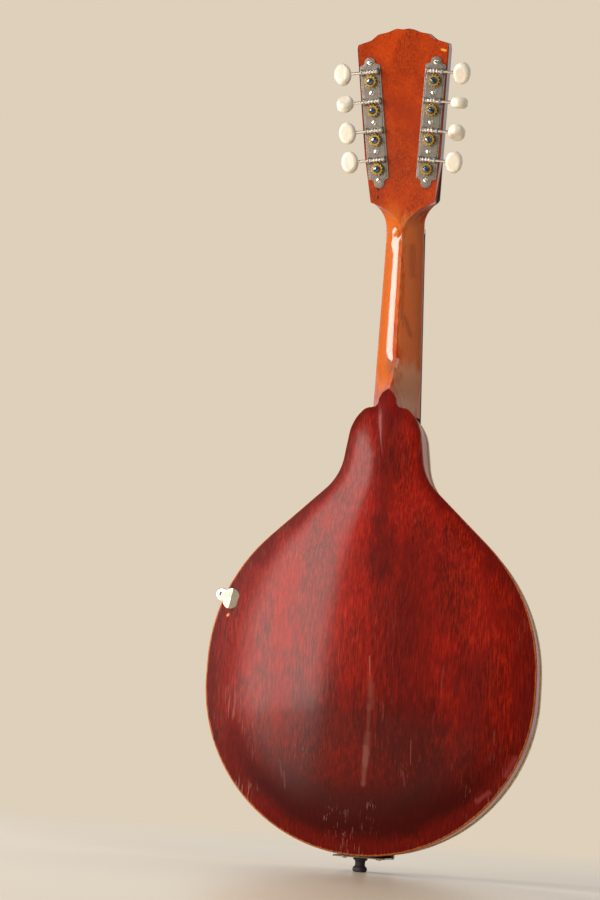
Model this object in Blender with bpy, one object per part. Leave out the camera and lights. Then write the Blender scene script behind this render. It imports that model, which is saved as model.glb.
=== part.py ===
"""A-style mandolin with carved plates, an oval sound hole and worm-and-gear tuners.

The instrument stands upright. +Z runs up the neck, the soundboard faces -Y, the back faces +Y and +X is
the treble side. The origin is the centre of the end pin's outer face, the lowest point of the instrument.
All sizes are in metres and all angles in degrees unless a name says otherwise.
"""
import math

import bmesh
import bpy
from mathutils import Matrix, Vector

# Clearances
GAP = 0.0003                # between pieces that touch or are glued
RUN = 0.0003                # around a shaft in its hole

# Body outline, from the tail to the neck
BODY_BOTTOM = 0.012         # height of the body's lower edge above the end pin's outer face
LOWER_RADIUS = 0.1278       # round lower bout, half the body's width
SIDE_STRAIGHT = 0.0120
UPPER_RADIUS = 0.1367
UPPER_SWEEP = 46.5
END_HALF_WIDTH = 0.01243    # half of the flat at the neck's end, which sets the shoulder's length
WAIST_RADIUS = 0.0430       # hollow where the shoulder turns up to the neck
WAIST_SWEEP = 38.5
THROAT_STRAIGHT = 0.0192
CORNER_RADIUS = 0.0340
CORNER_SWEEP = 37.0
END_RADIUS = 0.0093

# Body section
BODY_DEPTH = 0.0424         # between the outer edges of the two plates
PLATE_THICKNESS = 0.0040
TOP_ARCH = 0.0142
BACK_ARCH = 0.0145
SPINE_LOW = 0.128           # the arch is highest between these two heights above the lower edge
SPINE_HIGH = 0.150
SPINE_TOP = 0.300           # the arch's middle line ends here
NECK_ARCH_SHARE = 0.15      # height that is left of the arch at the neck
BUTTON_HALF_WIDTH = 0.0073  # heel button, the tongue of the back plate
BUTTON_LENGTH = 0.0156
BUTTON_FILLET = 0.0020      # where the button leaves the body's end
BUTTON_FILLET_START = 0.0008
BUTTON_FILLET_END = 0.0032
BUTTON_SHAPE = [(0.93, 0.48), (0.60, 0.78)]     # shares of its half width and length
OVERHANG = 0.0008
RIM_THICKNESS = 0.0024
LINING_WIDTH = 0.0050
LINING_HEIGHT = 0.0060
BINDING_WIDTH = 0.0016
HEAD_BLOCK_START = 0.296    # above the lower edge
TAIL_BLOCK_TOP = 0.036      # above the lower edge
TAIL_BLOCK_WIDTH = 0.056
TONE_BAR_HEIGHT = 0.185     # place above the lower edge
TONE_BAR_WIDTH = 0.008
TONE_BAR_DEPTH = 0.009
TONE_BAR_END_DEPTH = 0.003
HOLE_HEIGHT = 0.215         # centre of the sound hole above the lower edge
HOLE_HALF_WIDTH = 0.025
HOLE_HALF_LENGTH = 0.018
HOLE_RING_WIDTH = 0.0014

# Neck and fingerboard
SCALE = 0.3524
FRETS = 20
BODY_FRET = 10              # the neck meets the body at this fret
NECK_SET = 5.53             # tilt of the neck behind the body's plane
JOINT_SETBACK = 0.0028      # from the neck's end to where the fingerboard's underside crosses the top
JOINT_LIFT = 0.0006         # the same point's distance in front of the soundboard's edge
NUT_HALF_WIDTH = 0.0155
JOINT_HALF_WIDTH = 0.0195
RIDGE_AT_NUT = 0.0142       # depth of the neck's ridge behind the fingerboard
RIDGE_AT_JOINT = 0.0165
HEEL_RISE = 0.039
HEEL_LENGTH = 0.052
HEEL_POWER = 2.0
FINGERBOARD_THICKNESS = 0.0050
FINGERBOARD_OVERRUN = 0.004
FRET_HEIGHT = 0.0010
FRET_HALF_WIDTH = 0.0010
NUT_LENGTH = 0.0043
NUT_STRING_HEIGHT = 0.0016  # string centre above the fingerboard at the nut
OCTAVE_STRING_HEIGHT = 0.0029
OCTAVE_FRET = 12

# Head
HEAD_ANGLE = 14.7           # behind the neck
HEAD_THICKNESS = 0.0153     # with its veneer
VENEER_THICKNESS = 0.0020
VENEER_START = 0.0054       # from the nut along the head
HEAD_LOW_HALF_WIDTH = 0.0282
HEAD_LOW_CORNER = 0.0265
HEAD_TOP_HALF_WIDTH = 0.0368
HEAD_TOP_CORNER = 0.1460
FLARE_TURN = 60.0
FLARE_SHORT = 0.0006        # of the flare's end, inside the low corner
FLARE_LOW = 0.0016          # and below it
ARCH_TURN = 65.0
ARCH_SHORT = 0.0009
ARCH_LOW = 0.0010
ARCH_TIP = -0.0010
# Half of the crest as (half width, height above the top corner)
CREST = [(0.0364, 0.0040), (0.0257, 0.0073), (0.0200, 0.0119), (0.0121, 0.0135), (0.0054, 0.0162),
         (0.0, 0.0155)]

# Tuners
TUNERS_PER_SIDE = 4
TUNER_PITCH = 0.02301
FIRST_TUNER = 0.05165       # the tuner nearest the nut, along the head
FIRST_TUNER_HALF = 0.01987  # and its distance from the middle
TUNER_SPREAD = 0.0019       # each further tuner stands this much further out
TUNER_PLATE_THICKNESS = 0.0010
TUNER_PLATE_HALF_WIDTH = 0.0083
PLATE_FOOT = 0.0150         # plate below the first gear
PLATE_TIP = 0.0190          # plate beyond the last gear
PLATE_TAB_RADIUS = 0.0043   # round tabs at its two ends
PLATE_TIP_SHOULDER = 0.0061     # from the tab's end to the square shoulders
PLATE_FOOT_SHOULDER = 0.0074
GEAR_TEETH = 12
GEAR_TIP_RADIUS = 0.0052
GEAR_ROOT_RADIUS = 0.0042
GEAR_THICKNESS = 0.0022
TOOTH_TIP = 0.00045
TOOTH_ROOT = 0.00110
WORM_RADIUS = 0.0026
WORM_CORE_RADIUS = 0.0015
WORM_PITCH = 0.00244
WORM_TURNS = 3
WORM_CREST = 0.00040
WORM_FLANK = 0.00035
WORM_OFFSET = 0.0073        # from the gear's axis, towards the crest
WORM_HEIGHT = 0.0044        # of its axis above the head's back face
WORM_SHAFT_RADIUS = 0.00125
EAR_OFFSET = 0.0063
EAR_THICKNESS = 0.0009
EAR_WIDTH = 0.0052
EAR_RISE = 0.0023           # above the worm's axis
EAR_BORE_REACH = 0.009      # of the cutter for both ears, from the plate's middle line
EAR_ROUND = 0.7             # shares of the half width where the ear's corners are cut
EAR_CREST = 0.5
POST_RADIUS = 0.0026
POST_LENGTH = 0.0135        # in front of the head
POST_TIP = 0.8              # radius of its end, as a share of its radius
POST_EDGE = 0.0006
POST_STEP = 0.0002          # length of the step to the screw's radius
GEAR_SCREW_RADIUS = 0.0028
GEAR_SCREW_HEIGHT = 0.0019
PLATE_SCREW_RADIUS = 0.0021
PLATE_SCREW_HEIGHT = 0.0010
SCREW_RIM = 0.35            # height of a screw head's rim, as a share of the head
SCREW_CROWN = 0.6           # radius of its top, as a share of its radius
GEAR_SCREW_CROWN = 0.55
FOOT_SCREW_INSET = 0.0061   # of the end screws, from the plate's two ends
TIP_SCREW_INSET = 0.0045
BUTTON_CENTRE = 0.02175     # from the post's axis
BUTTON_HALF_LENGTH = 0.00675
BUTTON_HALF_HEIGHT = 0.00875
BUTTON_THICKNESS = 0.0085
BUTTON_EDGE = 0.0009
BUTTON_GRIP = 0.0075        # length of shaft inside the button
TREBLE_BUTTON_TURNS = [10.0, 0.0, 57.0, 18.0]
BASS_BUTTON_TURNS = [8.0, 65.0, 90.0, 22.0]

# Strings, outermost first: distance from the middle at the nut, at the saddle, and the tuner that each uses
STRING_AT_NUT = [0.0136, 0.0114, 0.0052, 0.0030]
STRING_AT_SADDLE = [0.0215, 0.0189, 0.0082, 0.0056]
STRING_TUNER = [0, 1, 2, 3]
STRING_REST = [0.0052, 0.0102, 0.0052, 0.0102]      # height at the post above the head's front
BASS_DIAMETERS = [0.00100, 0.00100, 0.00066, 0.00066]
TREBLE_DIAMETERS = [0.00028, 0.00028, 0.00038, 0.00038]
STRING_WRAP = 200.0
STRING_WRAP_STEPS = 10
STRING_AT_HOOK_SHARE = 0.86

# Bridge
BRIDGE_WIDTH = 0.110
BRIDGE_BASE_DEPTH = 0.010
BRIDGE_BASE_HEIGHT = 0.0050
BASE_END_DROP = 0.0026      # of the base's top at its two ends
BASE_END_POWER = 6
BASE_TOP_SHARE = 0.7        # depth of its top, as a share of its depth
SADDLE_WIDTH = 0.100
SADDLE_DEPTH = 0.006
SADDLE_END_DROP = 0.45      # of the saddle's top at its two ends, as a share of its height
SADDLE_END_POWER = 4
SADDLE_CREST = 0.35         # depth of its top, as a share of its depth
STUD_SPACING = 0.074
STUD_RADIUS = 0.0015
STUD_GRIP = 0.0040          # length of a stud inside the saddle
WHEEL_RADIUS = 0.0045
WHEEL_THICKNESS = 0.0018
WHEEL_EDGE = 0.0003
WHEEL_DROP = 0.0015         # room below the wheels at rest

# Tailpiece and end pin
TAIL_HALF_WIDTH = 0.020
TAIL_SHEET = 0.0012
TAIL_LENGTH = 0.025
TAIL_LIFT = 0.0043          # of its upper plate above the soundboard's edge
TAIL_SKIRT = 0.008          # length of its rim plate behind the middle of the body
HOOK_RADIUS = 0.0009
HOOK_HEIGHT = 0.0030
HOOK_HEIGHT_ON_PLATE = 0.014
COVER_LENGTH = 0.052
COVER_SHEET = 0.0008
COVER_SLOPE = 9.8
COVER_SKIRT = 0.0060
COVER_SHOULDER = 0.0045
COVER_DROP = 0.0016         # of the shoulder below the top's middle plane
COVER_START = -0.002        # above the lower edge
COVER_CLEARANCE = 0.0022    # above the hooks
PIN_HEAD_RADIUS = 0.0055
PIN_EDGE = (0.0006, 0.0008)
PIN_KNOB = 0.0030           # length of the knob
PIN_NECK_START = 0.0048
PIN_FLANGE_START = 0.0020   # below the flange's face
PIN_FLANGE = 0.0010
PIN_NECK_RADIUS = 0.0038
PIN_SHAFT_RADIUS = 0.0030
PIN_DEPTH = 0.024           # of the pin in the body

# Pickguard and its clamp
GUARD_THICKNESS = 0.0016
GUARD_LIFT = 0.0031         # above the top of the arch
GUARD_INNER = 0.0245
GUARD_REACH = 0.042
GUARD_BRIDGE_GAP = 0.0018   # between the pickguard and the bridge
GUARD_LENGTH = 0.148
GUARD_STEPS = 12
GUARD_START = 0.12          # where its curve starts, as a share of half a turn
GUARD_FULLNESS = 0.8
GUARD_TIP = 0.003           # width of its upper end
GUARD_PIN_RADIUS = 0.0015
GUARD_PIN_OUT = 0.0065      # from the pickguard's inner edge
GUARD_PIN_DROP = 0.028      # below its upper end
BORE_MARGIN = 0.010         # a cutter runs on by this much
HOLE_MARGIN = 0.005
THIN_MARGIN = 0.002
CLAMP_ANGLE = 21.4          # on the upper bout's arc
CLAMP_SHEET = 0.0012
CLAMP_WIDTH = 0.009
CLAMP_DISC_HALF_REACH = 0.0065
CLAMP_DISC_HALF_WIDTH = 0.0080
CLAMP_DISC_LIFT = 0.0015    # above the back plate's edge
CLAMP_DISC_TURN = 12.0      # of its long side, from the plate's edge towards upright
CLAMP_SIDE_CLEAR = 0.0010   # outside the plates' edges
ARM_FOOT = 0.0030           # flat part of the bracket on the top's edge
ARM_STEP = 0.0038
ARM_BEND_SHARE = 0.43       # where the arm levels out, as a share of its reach
ARM_REACH_SHARE = 0.77      # where it ends under the pickguard, as a share of the guard's width
ROD_RADIUS = 0.0015
ROD_REACH = 0.0088          # outside the plates' edges
ROD_TIP = 0.0060
FOOT_TAB = -0.0060
FOOT_UNDER_DISC = 0.0050    # of the foot's sheet, inside the plate's edge
DISC_SINK = 0.45            # share of the disc's sheet below the foot's middle plane
BRACKET_TAB = -0.0100
TAB_MARGIN = 0.0040
CLAMP_NUT_RADIUS = 0.0050
CLAMP_NUT_LENGTH = 0.0060
CLAMP_NUT_EDGE = 0.0006

# Derived places
EDGE_Y = BODY_DEPTH / 2
JOINT_DEPTH = EDGE_Y + JOINT_LIFT
INNER_EDGE_Y = EDGE_Y - PLATE_THICKNESS
RIM_HALF_HEIGHT = INNER_EDGE_Y - GAP
RIM_INNER = OVERHANG + RIM_THICKNESS
LINING_OUTER = RIM_INNER + GAP
LINING_INNER = LINING_OUTER + LINING_WIDTH
BLOCK_INSET = LINING_INNER + GAP
NECK_LENGTH = SCALE * (1 - 2 ** (-BODY_FRET / 12))
FINGERBOARD_LENGTH = SCALE * (1 - 2 ** (-FRETS / 12)) + FINGERBOARD_OVERRUN
SPINE = (BODY_BOTTOM + SPINE_LOW, BODY_BOTTOM + SPINE_TOP)
SOUNDBOARD_INSET = BINDING_WIDTH + GAP

RING_SHARES = [1.0, 0.9, 0.76, 0.6, 0.4, 0.2, 0.0]
MERGE = 0.000002
SHARP_ANGLE = 35             # edges sharper than this stay sharp
TINY_RADIUS = 0.0004


# Helpers

def clear_scene():
    """Remove whatever objects the file holds."""
    for item in list(bpy.data.objects):
        bpy.data.objects.remove(item, do_unlink=True)


def material(name, colour, roughness, metallic=0.0):
    """Return a Principled material of one colour."""
    item = bpy.data.materials.get(name) or bpy.data.materials.new(name)
    item.use_nodes = True
    shader = item.node_tree.nodes["Principled BSDF"]
    shader.inputs["Base Color"].default_value = (*colour, 1.0)
    shader.inputs["Roughness"].default_value = roughness
    shader.inputs["Metallic"].default_value = metallic
    return item


def finish(name, mesh, look, place=None, smooth=True):
    """Turn a bmesh into a named object, with its mesh given in the frame of place."""
    bmesh.ops.remove_doubles(mesh, verts=mesh.verts, dist=MERGE)
    bmesh.ops.recalc_face_normals(mesh, faces=mesh.faces)
    data = bpy.data.meshes.new(name)
    mesh.to_mesh(data)
    mesh.free()
    if smooth:
        data.shade_smooth()
        data.set_sharp_from_angle(angle=math.radians(SHARP_ANGLE))
    item = bpy.data.objects.new(name, data)
    item.matrix_world = place or Matrix.Identity(4)
    bpy.context.collection.objects.link(item)
    data.materials.append(look)
    return item


def combine(base, others, operation):
    """Apply Boolean steps of one kind to an object and remove the other objects."""
    for other in others:
        step = base.modifiers.new(operation.lower(), "BOOLEAN")
        step.operation = operation
        step.solver = "EXACT"
        step.object = other
    bpy.context.view_layer.update()
    graph = bpy.context.evaluated_depsgraph_get()
    data = bpy.data.meshes.new_from_object(base.evaluated_get(graph))
    base.modifiers.clear()
    base.data = data
    for other in others:
        bpy.data.objects.remove(other, do_unlink=True)
    data.shade_smooth()
    data.set_sharp_from_angle(angle=math.radians(SHARP_ANGLE))
    return base


def skin(mesh, rings, closed_ends=True):
    """Join rings of points into a tube, each ring having the same number of points."""
    rows = [[mesh.verts.new(point) for point in ring] for ring in rings]
    count = len(rows[0])
    for low, high in zip(rows, rows[1:]):
        for index in range(count):
            after = (index + 1) % count
            mesh.faces.new((low[index], low[after], high[after], high[index]))
    if closed_ends:
        mesh.faces.new(rows[0])
        mesh.faces.new(rows[-1])
    return rows


def prism(outline, low, high, axis=1):
    """Return a bmesh of a flat outline pushed along one axis from low to high."""
    mesh = bmesh.new()
    rings = []
    for level in (low, high):
        ring = []
        for first, second in outline:
            point = [first, second]
            point.insert(axis, level)
            ring.append(Vector(point))
        rings.append(ring)
    skin(mesh, rings)
    return mesh


def turned(profile, sides, axis=2):
    """Return a bmesh turned about an axis, from a profile of (radius, place on the axis)."""
    mesh = bmesh.new()
    rings = []
    for radius, level in profile:
        ring = []
        for index in range(sides):
            angle = 2 * math.pi * index / sides
            point = [radius * math.cos(angle), radius * math.sin(angle)]
            point.insert(axis, level)
            ring.append(Vector(point))
        rings.append(ring)
    skin(mesh, rings)
    return mesh


def rod(radius, low, high, sides, axis=2):
    """Return a bmesh of a plain round rod along an axis."""
    return turned([(radius, low), (radius, high)], sides, axis)


def turned_ring(profile, sides, axis=2):
    """Return a bmesh turned about an axis from a closed profile that leaves a bore."""
    mesh = bmesh.new()
    columns = []
    for index in range(sides):
        angle = 2 * math.pi * index / sides
        column = []
        for radius, level in profile:
            point = [radius * math.cos(angle), radius * math.sin(angle)]
            point.insert(axis, level)
            column.append(Vector(point))
        columns.append(column)
    columns.append(columns[0])
    skin(mesh, columns, closed_ends=False)
    return mesh


def ellipse(half_x, half_z, steps, centre=(0.0, 0.0)):
    """Points of an ellipse as (x, z)."""
    angles = [2 * math.pi * index / steps for index in range(steps)]
    return [(centre[0] + half_x * math.cos(a), centre[1] + half_z * math.sin(a)) for a in angles]


def strip(path, thickness):
    """Outline of a bent sheet that follows a path of corners."""
    left, right = [], []
    for index, point in enumerate(path):
        here = Vector(point)
        before = (here - Vector(path[index - 1])).normalized() if index else None
        after = (Vector(path[index + 1]) - here).normalized() if index < len(path) - 1 else None
        along = ((before or after) + (after or before)).normalized()
        across = Vector((-along.y, along.x))
        edge = before or after
        reach = thickness / 2 / max(0.3, across.dot(Vector((-edge.y, edge.x))))
        left.append(here + across * reach)
        right.append(here - across * reach)
    return [tuple(p) for p in left + right[::-1]]


def cutter(mesh, place=None):
    """Make a helper object for a Boolean step."""
    item = finish("cutter", mesh, material("cutter", (0.5, 0.5, 0.5), 0.5), place)
    item.hide_render = True
    item.display_type = "WIRE"
    return item


# Body outline and arches

def runs_after_shoulder():
    """The outline's runs above the shoulder."""
    last = 90.0 - UPPER_SWEEP + WAIST_SWEEP - CORNER_SWEEP
    return [("arc", WAIST_RADIUS, -WAIST_SWEEP, 4), ("line", THROAT_STRAIGHT, 0.0, 1),
            ("arc", CORNER_RADIUS, CORNER_SWEEP, 3), ("arc", END_RADIUS, last, 3)]


def shoulder_straight():
    """Length of the shoulder's straight run that brings the outline to the neck end's width."""
    heading = math.radians(90.0 + UPPER_SWEEP)
    x = LOWER_RADIUS - UPPER_RADIUS * (1.0 - math.cos(math.radians(UPPER_SWEEP)))
    walk = heading
    for kind, size, sweep, _ in runs_after_shoulder():
        if kind == "line":
            x += size * math.cos(walk)
            continue
        side = 1.0 if sweep > 0 else -1.0
        turned_heading = walk + math.radians(sweep)
        x += side * size * (math.sin(turned_heading) - math.sin(walk))
        walk = turned_heading
    return (END_HALF_WIDTH - x) / math.cos(heading)


def body_path():
    """The outline's runs as (kind, length or radius, sweep, steps), with the body on the left."""
    runs = [("arc", LOWER_RADIUS, 90.0, 12), ("line", SIDE_STRAIGHT, 0.0, 1),
            ("arc", UPPER_RADIUS, UPPER_SWEEP, 6), ("line", shoulder_straight(), 0.0, 3)]
    return runs + runs_after_shoulder()


def half_outline(inset=0.0):
    """Right half of the body outline, from the tail to the neck, drawn in by inset."""
    x, z, heading = 0.0, BODY_BOTTOM + inset, 0.0
    points = [(x, z)]
    for kind, size, sweep, steps in body_path():
        if kind == "line":
            for _ in range(steps):
                x += size / steps * math.cos(heading)
                z += size / steps * math.sin(heading)
                points.append((x, z))
            continue
        side = 1.0 if sweep > 0 else -1.0
        radius = max(TINY_RADIUS, size - side * inset)
        centre_x = x - side * radius * math.sin(heading)
        centre_z = z + side * radius * math.cos(heading)
        for _ in range(steps):
            heading += math.radians(sweep) / steps
            x = centre_x + side * radius * math.sin(heading)
            z = centre_z - side * radius * math.cos(heading)
            points.append((x, z))
    points.append((0.0, z))
    return points


def mirrored(half):
    """A closed outline from a right half that starts and ends on the middle line."""
    return half + [(-x, z) for x, z in reversed(half[1:-1])]


def outline(inset=0.0):
    """The whole body outline."""
    return mirrored(half_outline(inset))


def between(first, second, axis, value):
    """Point on the line through two points where one coordinate has a value."""
    share = (value - first[axis]) / (second[axis] - first[axis])
    return tuple(a + (b - a) * share for a, b in zip(first, second))


BODY_TOP = half_outline()[-1][1]
SOUNDBOARD_HALF = half_outline(SOUNDBOARD_INSET)


def back_outline():
    """The back plate's outline with the heel button at its top."""
    half = half_outline()[:-1]
    half.append((BUTTON_HALF_WIDTH + BUTTON_FILLET, BODY_TOP + BUTTON_FILLET_START))
    half.append((BUTTON_HALF_WIDTH, BODY_TOP + BUTTON_FILLET_END))
    half += [(BUTTON_HALF_WIDTH * wide, BODY_TOP + BUTTON_LENGTH * high) for wide, high in BUTTON_SHAPE]
    half.append((0.0, BODY_TOP + BUTTON_LENGTH))
    return mirrored(half)


def spine_point(z):
    """Nearest point of the arch's middle line."""
    return min(max(z, SPINE[0]), SPINE[1])


def arch_share(share, z):
    """Height of the arch as a share of its full height, from the place across and the height."""
    run = (z - BODY_BOTTOM - SPINE_HIGH) / (BODY_TOP - BODY_BOTTOM - SPINE_HIGH)
    fall = (1.0 - math.cos(math.pi * min(max(run, 0.0), 1.0))) / 2
    return max(0.0, 1.0 - share * share) ** 1.5 * (1.0 - (1.0 - NECK_ARCH_SHARE) * fall)


def edge_share(x, z, half):
    """How far a point lies from the middle line towards the half outline, from 0 to 1."""
    centre = spine_point(z)
    direction = math.atan2(abs(x), z - centre)
    reach = math.hypot(x, z - centre)
    if reach < MERGE:
        return 0.0
    for (x0, z0), (x1, z1) in zip(half, half[1:]):
        low = math.atan2(x1, z1 - centre)
        high = math.atan2(x0, z0 - centre)
        if low <= direction <= high and high - low > 1e-9:
            dx, dz = math.sin(direction), math.cos(direction)
            across = dx * (z1 - z0) - dz * (x1 - x0)
            edge = (x0 * (z1 - z0) - (z0 - centre) * (x1 - x0)) / across
            return min(1.0, reach / edge)
    return 1.0


def top_y(x, z):
    """Outer face of the soundboard at a place."""
    return -(EDGE_Y + TOP_ARCH * arch_share(edge_share(x, z, SOUNDBOARD_HALF), z))


def carved_plate(edge, arch, side):
    """Return a bmesh of an arched plate of even thickness. side is -1 for the top and +1 for the back."""
    mesh = bmesh.new()
    layers = []
    for depth in (0.0, PLATE_THICKNESS):
        rings = []
        for share in RING_SHARES:
            ring = []
            for x, z in edge:
                level = spine_point(z) + share * (z - spine_point(z))
                y = side * (EDGE_Y + arch * arch_share(share, level) - depth)
                ring.append(Vector((share * x, y, level)))
            rings.append(ring)
        layers.append(rings)
    skin(mesh, layers[0][::-1] + layers[1], closed_ends=False)
    bmesh.ops.remove_doubles(mesh, verts=mesh.verts, dist=MERGE)
    split_spine(mesh)
    return mesh


def split_spine(mesh):
    """Drop faces that fell flat onto the middle line where the two layers end."""
    flat = [face for face in mesh.faces if face.calc_area() < 1e-12]
    if flat:
        bmesh.ops.delete(mesh, geom=flat, context="FACES")


def band(outer_inset, inner_inset, low, high):
    """Return a bmesh of a ring along the outline between two insets and two depths."""
    mesh = bmesh.new()
    outer, inner = outline(outer_inset), outline(inner_inset)
    rings = [[Vector((x, y, z)) for x, z in edge]
             for edge, y in ((outer, low), (outer, high), (inner, high), (inner, low), (outer, low))]
    skin(mesh, rings, closed_ends=False)
    return mesh


# Body pieces

def make_soundboard(look):
    board = finish("soundboard", carved_plate(outline(SOUNDBOARD_INSET), TOP_ARCH, -1.0), look)
    hole = ellipse(HOLE_HALF_WIDTH, HOLE_HALF_LENGTH, 28, (0.0, BODY_BOTTOM + HOLE_HEIGHT))
    return combine(board, [cutter(prism(hole, -2 * EDGE_Y, 0.0))], "DIFFERENCE")


def make_back(look):
    return finish("back_plate", carved_plate(back_outline(), BACK_ARCH, 1.0), look)


def make_rim(look):
    rim = finish("rim", band(OVERHANG, RIM_INNER, -RIM_HALF_HEIGHT, RIM_HALF_HEIGHT), look)
    bore = cutter(rod(PIN_SHAFT_RADIUS + RUN, 0.0, BODY_BOTTOM + BORE_MARGIN, 16))
    return combine(rim, [bore], "DIFFERENCE")


def make_lining(name, side, look):
    """Triangular lining glued inside the rim, against one plate."""
    mesh = bmesh.new()
    outer, inner = outline(LINING_OUTER), outline(LINING_INNER)
    near, far = side * RIM_HALF_HEIGHT, side * (RIM_HALF_HEIGHT - LINING_HEIGHT)
    rings = [[Vector((x, y, z)) for x, z in edge]
             for edge, y in ((outer, near), (inner, near), (outer, far), (outer, near))]
    skin(mesh, rings, closed_ends=False)
    return finish(name, mesh, look)


def make_blocks(look):
    """Head block and tail block, which fill the space between the linings."""
    edge = half_outline(BLOCK_INSET)
    low = BODY_BOTTOM + HEAD_BLOCK_START
    first = next(index for index, point in enumerate(edge) if point[1] > low)
    shape = [(0.0, low), between(edge[first - 1], edge[first], 1, low)] + edge[first:]
    finish("head_block", prism(mirrored(shape), -RIM_HALF_HEIGHT, RIM_HALF_HEIGHT), look, smooth=False)
    wide = TAIL_BLOCK_WIDTH / 2
    first = next(index for index, point in enumerate(edge) if point[0] > wide)
    high = BODY_BOTTOM + TAIL_BLOCK_TOP
    shape = edge[:first] + [between(edge[first - 1], edge[first], 0, wide), (wide, high), (0.0, high)]
    mesh = prism(mirrored(shape), -RIM_HALF_HEIGHT, RIM_HALF_HEIGHT)
    tail = finish("tail_block", mesh, look, smooth=False)
    bore = cutter(rod(PIN_SHAFT_RADIUS + RUN, 0.0, BODY_BOTTOM + PIN_DEPTH + GAP, 16))
    combine(tail, [bore], "DIFFERENCE")


def make_tone_bar(look):
    """Cross bar under the top, below the sound hole."""
    z = BODY_BOTTOM + TONE_BAR_HEIGHT
    reach = max(x for x, level in half_outline(BLOCK_INSET) if level > z) - GAP
    rings = []
    steps = 10
    for index in range(steps + 1):
        x = reach * (2 * index / steps - 1)
        share = abs(x) / reach
        depth = TONE_BAR_DEPTH + (TONE_BAR_END_DEPTH - TONE_BAR_DEPTH) * share ** 2
        rings.append([Vector((x, y, level)) for y, level in (
            (top_y(x, z - TONE_BAR_WIDTH / 2) + PLATE_THICKNESS + 2 * GAP, z - TONE_BAR_WIDTH / 2),
            (top_y(x, z + TONE_BAR_WIDTH / 2) + PLATE_THICKNESS + 2 * GAP, z + TONE_BAR_WIDTH / 2),
            (top_y(x, z) + PLATE_THICKNESS + depth, z + TONE_BAR_WIDTH / 3),
            (top_y(x, z) + PLATE_THICKNESS + depth, z - TONE_BAR_WIDTH / 3))])
    mesh = bmesh.new()
    skin(mesh, rings)
    return finish("tone_bar", mesh, look)


def make_binding(look):
    return finish("top_binding", band(0.0, BINDING_WIDTH, -EDGE_Y, -INNER_EDGE_Y), look)


def make_hole_ring(look):
    """Ring let into the sound hole's edge, which follows the arch."""
    steps = 28
    centre = (0.0, BODY_BOTTOM + HOLE_HEIGHT)
    outer = ellipse(HOLE_HALF_WIDTH - GAP, HOLE_HALF_LENGTH - GAP, steps, centre)
    inner = ellipse(HOLE_HALF_WIDTH - HOLE_RING_WIDTH, HOLE_HALF_LENGTH - HOLE_RING_WIDTH, steps, centre)
    rings = []
    for edge, depth in ((outer, 0.0), (outer, PLATE_THICKNESS), (inner, PLATE_THICKNESS), (inner, 0.0),
                        (outer, 0.0)):
        rings.append([Vector((x, top_y(ox, oz) + depth, z)) for (x, z), (ox, oz) in zip(edge, outer)])
    mesh = bmesh.new()
    skin(mesh, rings, closed_ends=False)
    return finish("sound_hole_ring", mesh, look)


# Neck and head

def neck_frame():
    """Frame on the fingerboard's underside at the body joint: +Z up the neck, +Y towards the back."""
    place = Matrix.Translation((0.0, -JOINT_DEPTH, BODY_TOP - JOINT_SETBACK))
    return place @ Matrix.Rotation(math.radians(-NECK_SET), 4, "X")


def head_frame():
    """Frame on the veneer's front face at the nut: +Z up the head, +Y towards the back."""
    step = Matrix.Translation((0.0, 0.0, NECK_LENGTH)) @ Matrix.Rotation(math.radians(-HEAD_ANGLE), 4, "X")
    return neck_frame() @ step


def neck_half_width(along):
    """Half width of the neck at a distance from the body joint."""
    return JOINT_HALF_WIDTH + (NUT_HALF_WIDTH - JOINT_HALF_WIDTH) * along / NECK_LENGTH


def neck_ring(height):
    """One level section of the neck, in world space, with a soft V shape."""
    frame = neck_frame()
    along = (height - BODY_TOP + JOINT_SETBACK) / math.cos(math.radians(NECK_SET))
    top = (frame @ Vector((0.0, 0.0, along))).y + GAP
    width = neck_half_width(along)
    ridge = RIDGE_AT_JOINT + (RIDGE_AT_NUT - RIDGE_AT_JOINT) * along / NECK_LENGTH
    heel = max(0.0, 1.0 - (height - BODY_TOP) / HEEL_LENGTH)
    depth = ridge + HEEL_RISE * heel ** HEEL_POWER
    softness = 1.7 - 0.65 * min(1.0, heel * 1.4)
    levels = [0.0, 0.16, 0.38, 0.60, 0.80, 0.94, 1.0]
    right = [(width * (1.0 - level ** softness), top + depth * level) for level in levels[:-1]]
    points = right + [(0.0, top + depth)] + [(-x, y) for x, y in reversed(right)]
    return [Vector((x, y, height)) for x, y in points]


def head_half_front(low_end):
    """Right half of the head's front outline, from the nut's end up to the crest."""
    points = [(NUT_HALF_WIDTH, low_end)]
    steps = 4
    turn = math.radians(FLARE_TURN)
    for index in range(1, steps + 1):
        angle = turn * index / steps
        out = (1 - math.cos(angle)) / (1 - math.cos(turn))
        up = math.sin(angle) / math.sin(turn)
        points.append((NUT_HALF_WIDTH + (HEAD_LOW_HALF_WIDTH - FLARE_SHORT - NUT_HALF_WIDTH) * out,
                       VENEER_START + (HEAD_LOW_CORNER - FLARE_LOW - VENEER_START) * up))
    points.append((HEAD_LOW_HALF_WIDTH, HEAD_LOW_CORNER))
    points.append((HEAD_TOP_HALF_WIDTH, HEAD_TOP_CORNER))
    points += [(x, HEAD_TOP_CORNER + rise) for x, rise in CREST]
    return points


def head_half_back():
    """Right half of the head's back outline, which ends in a pointed arch on the neck's ridge."""
    front = head_half_front(0.0)
    steps = len(front) - 1 - 1 - len(CREST)
    turn = math.radians(ARCH_TURN)
    points = [(0.0, ARCH_TIP)]
    for index in range(1, steps):
        angle = turn * index / (steps - 1)
        out = (1 - math.cos(angle)) / (1 - math.cos(turn))
        up = math.sin(angle) / math.sin(turn)
        points.append(((HEAD_LOW_HALF_WIDTH - ARCH_SHORT) * out,
                       ARCH_TIP + (HEAD_LOW_CORNER - ARCH_LOW - ARCH_TIP) * up))
    return points + front[len(points):]


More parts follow.
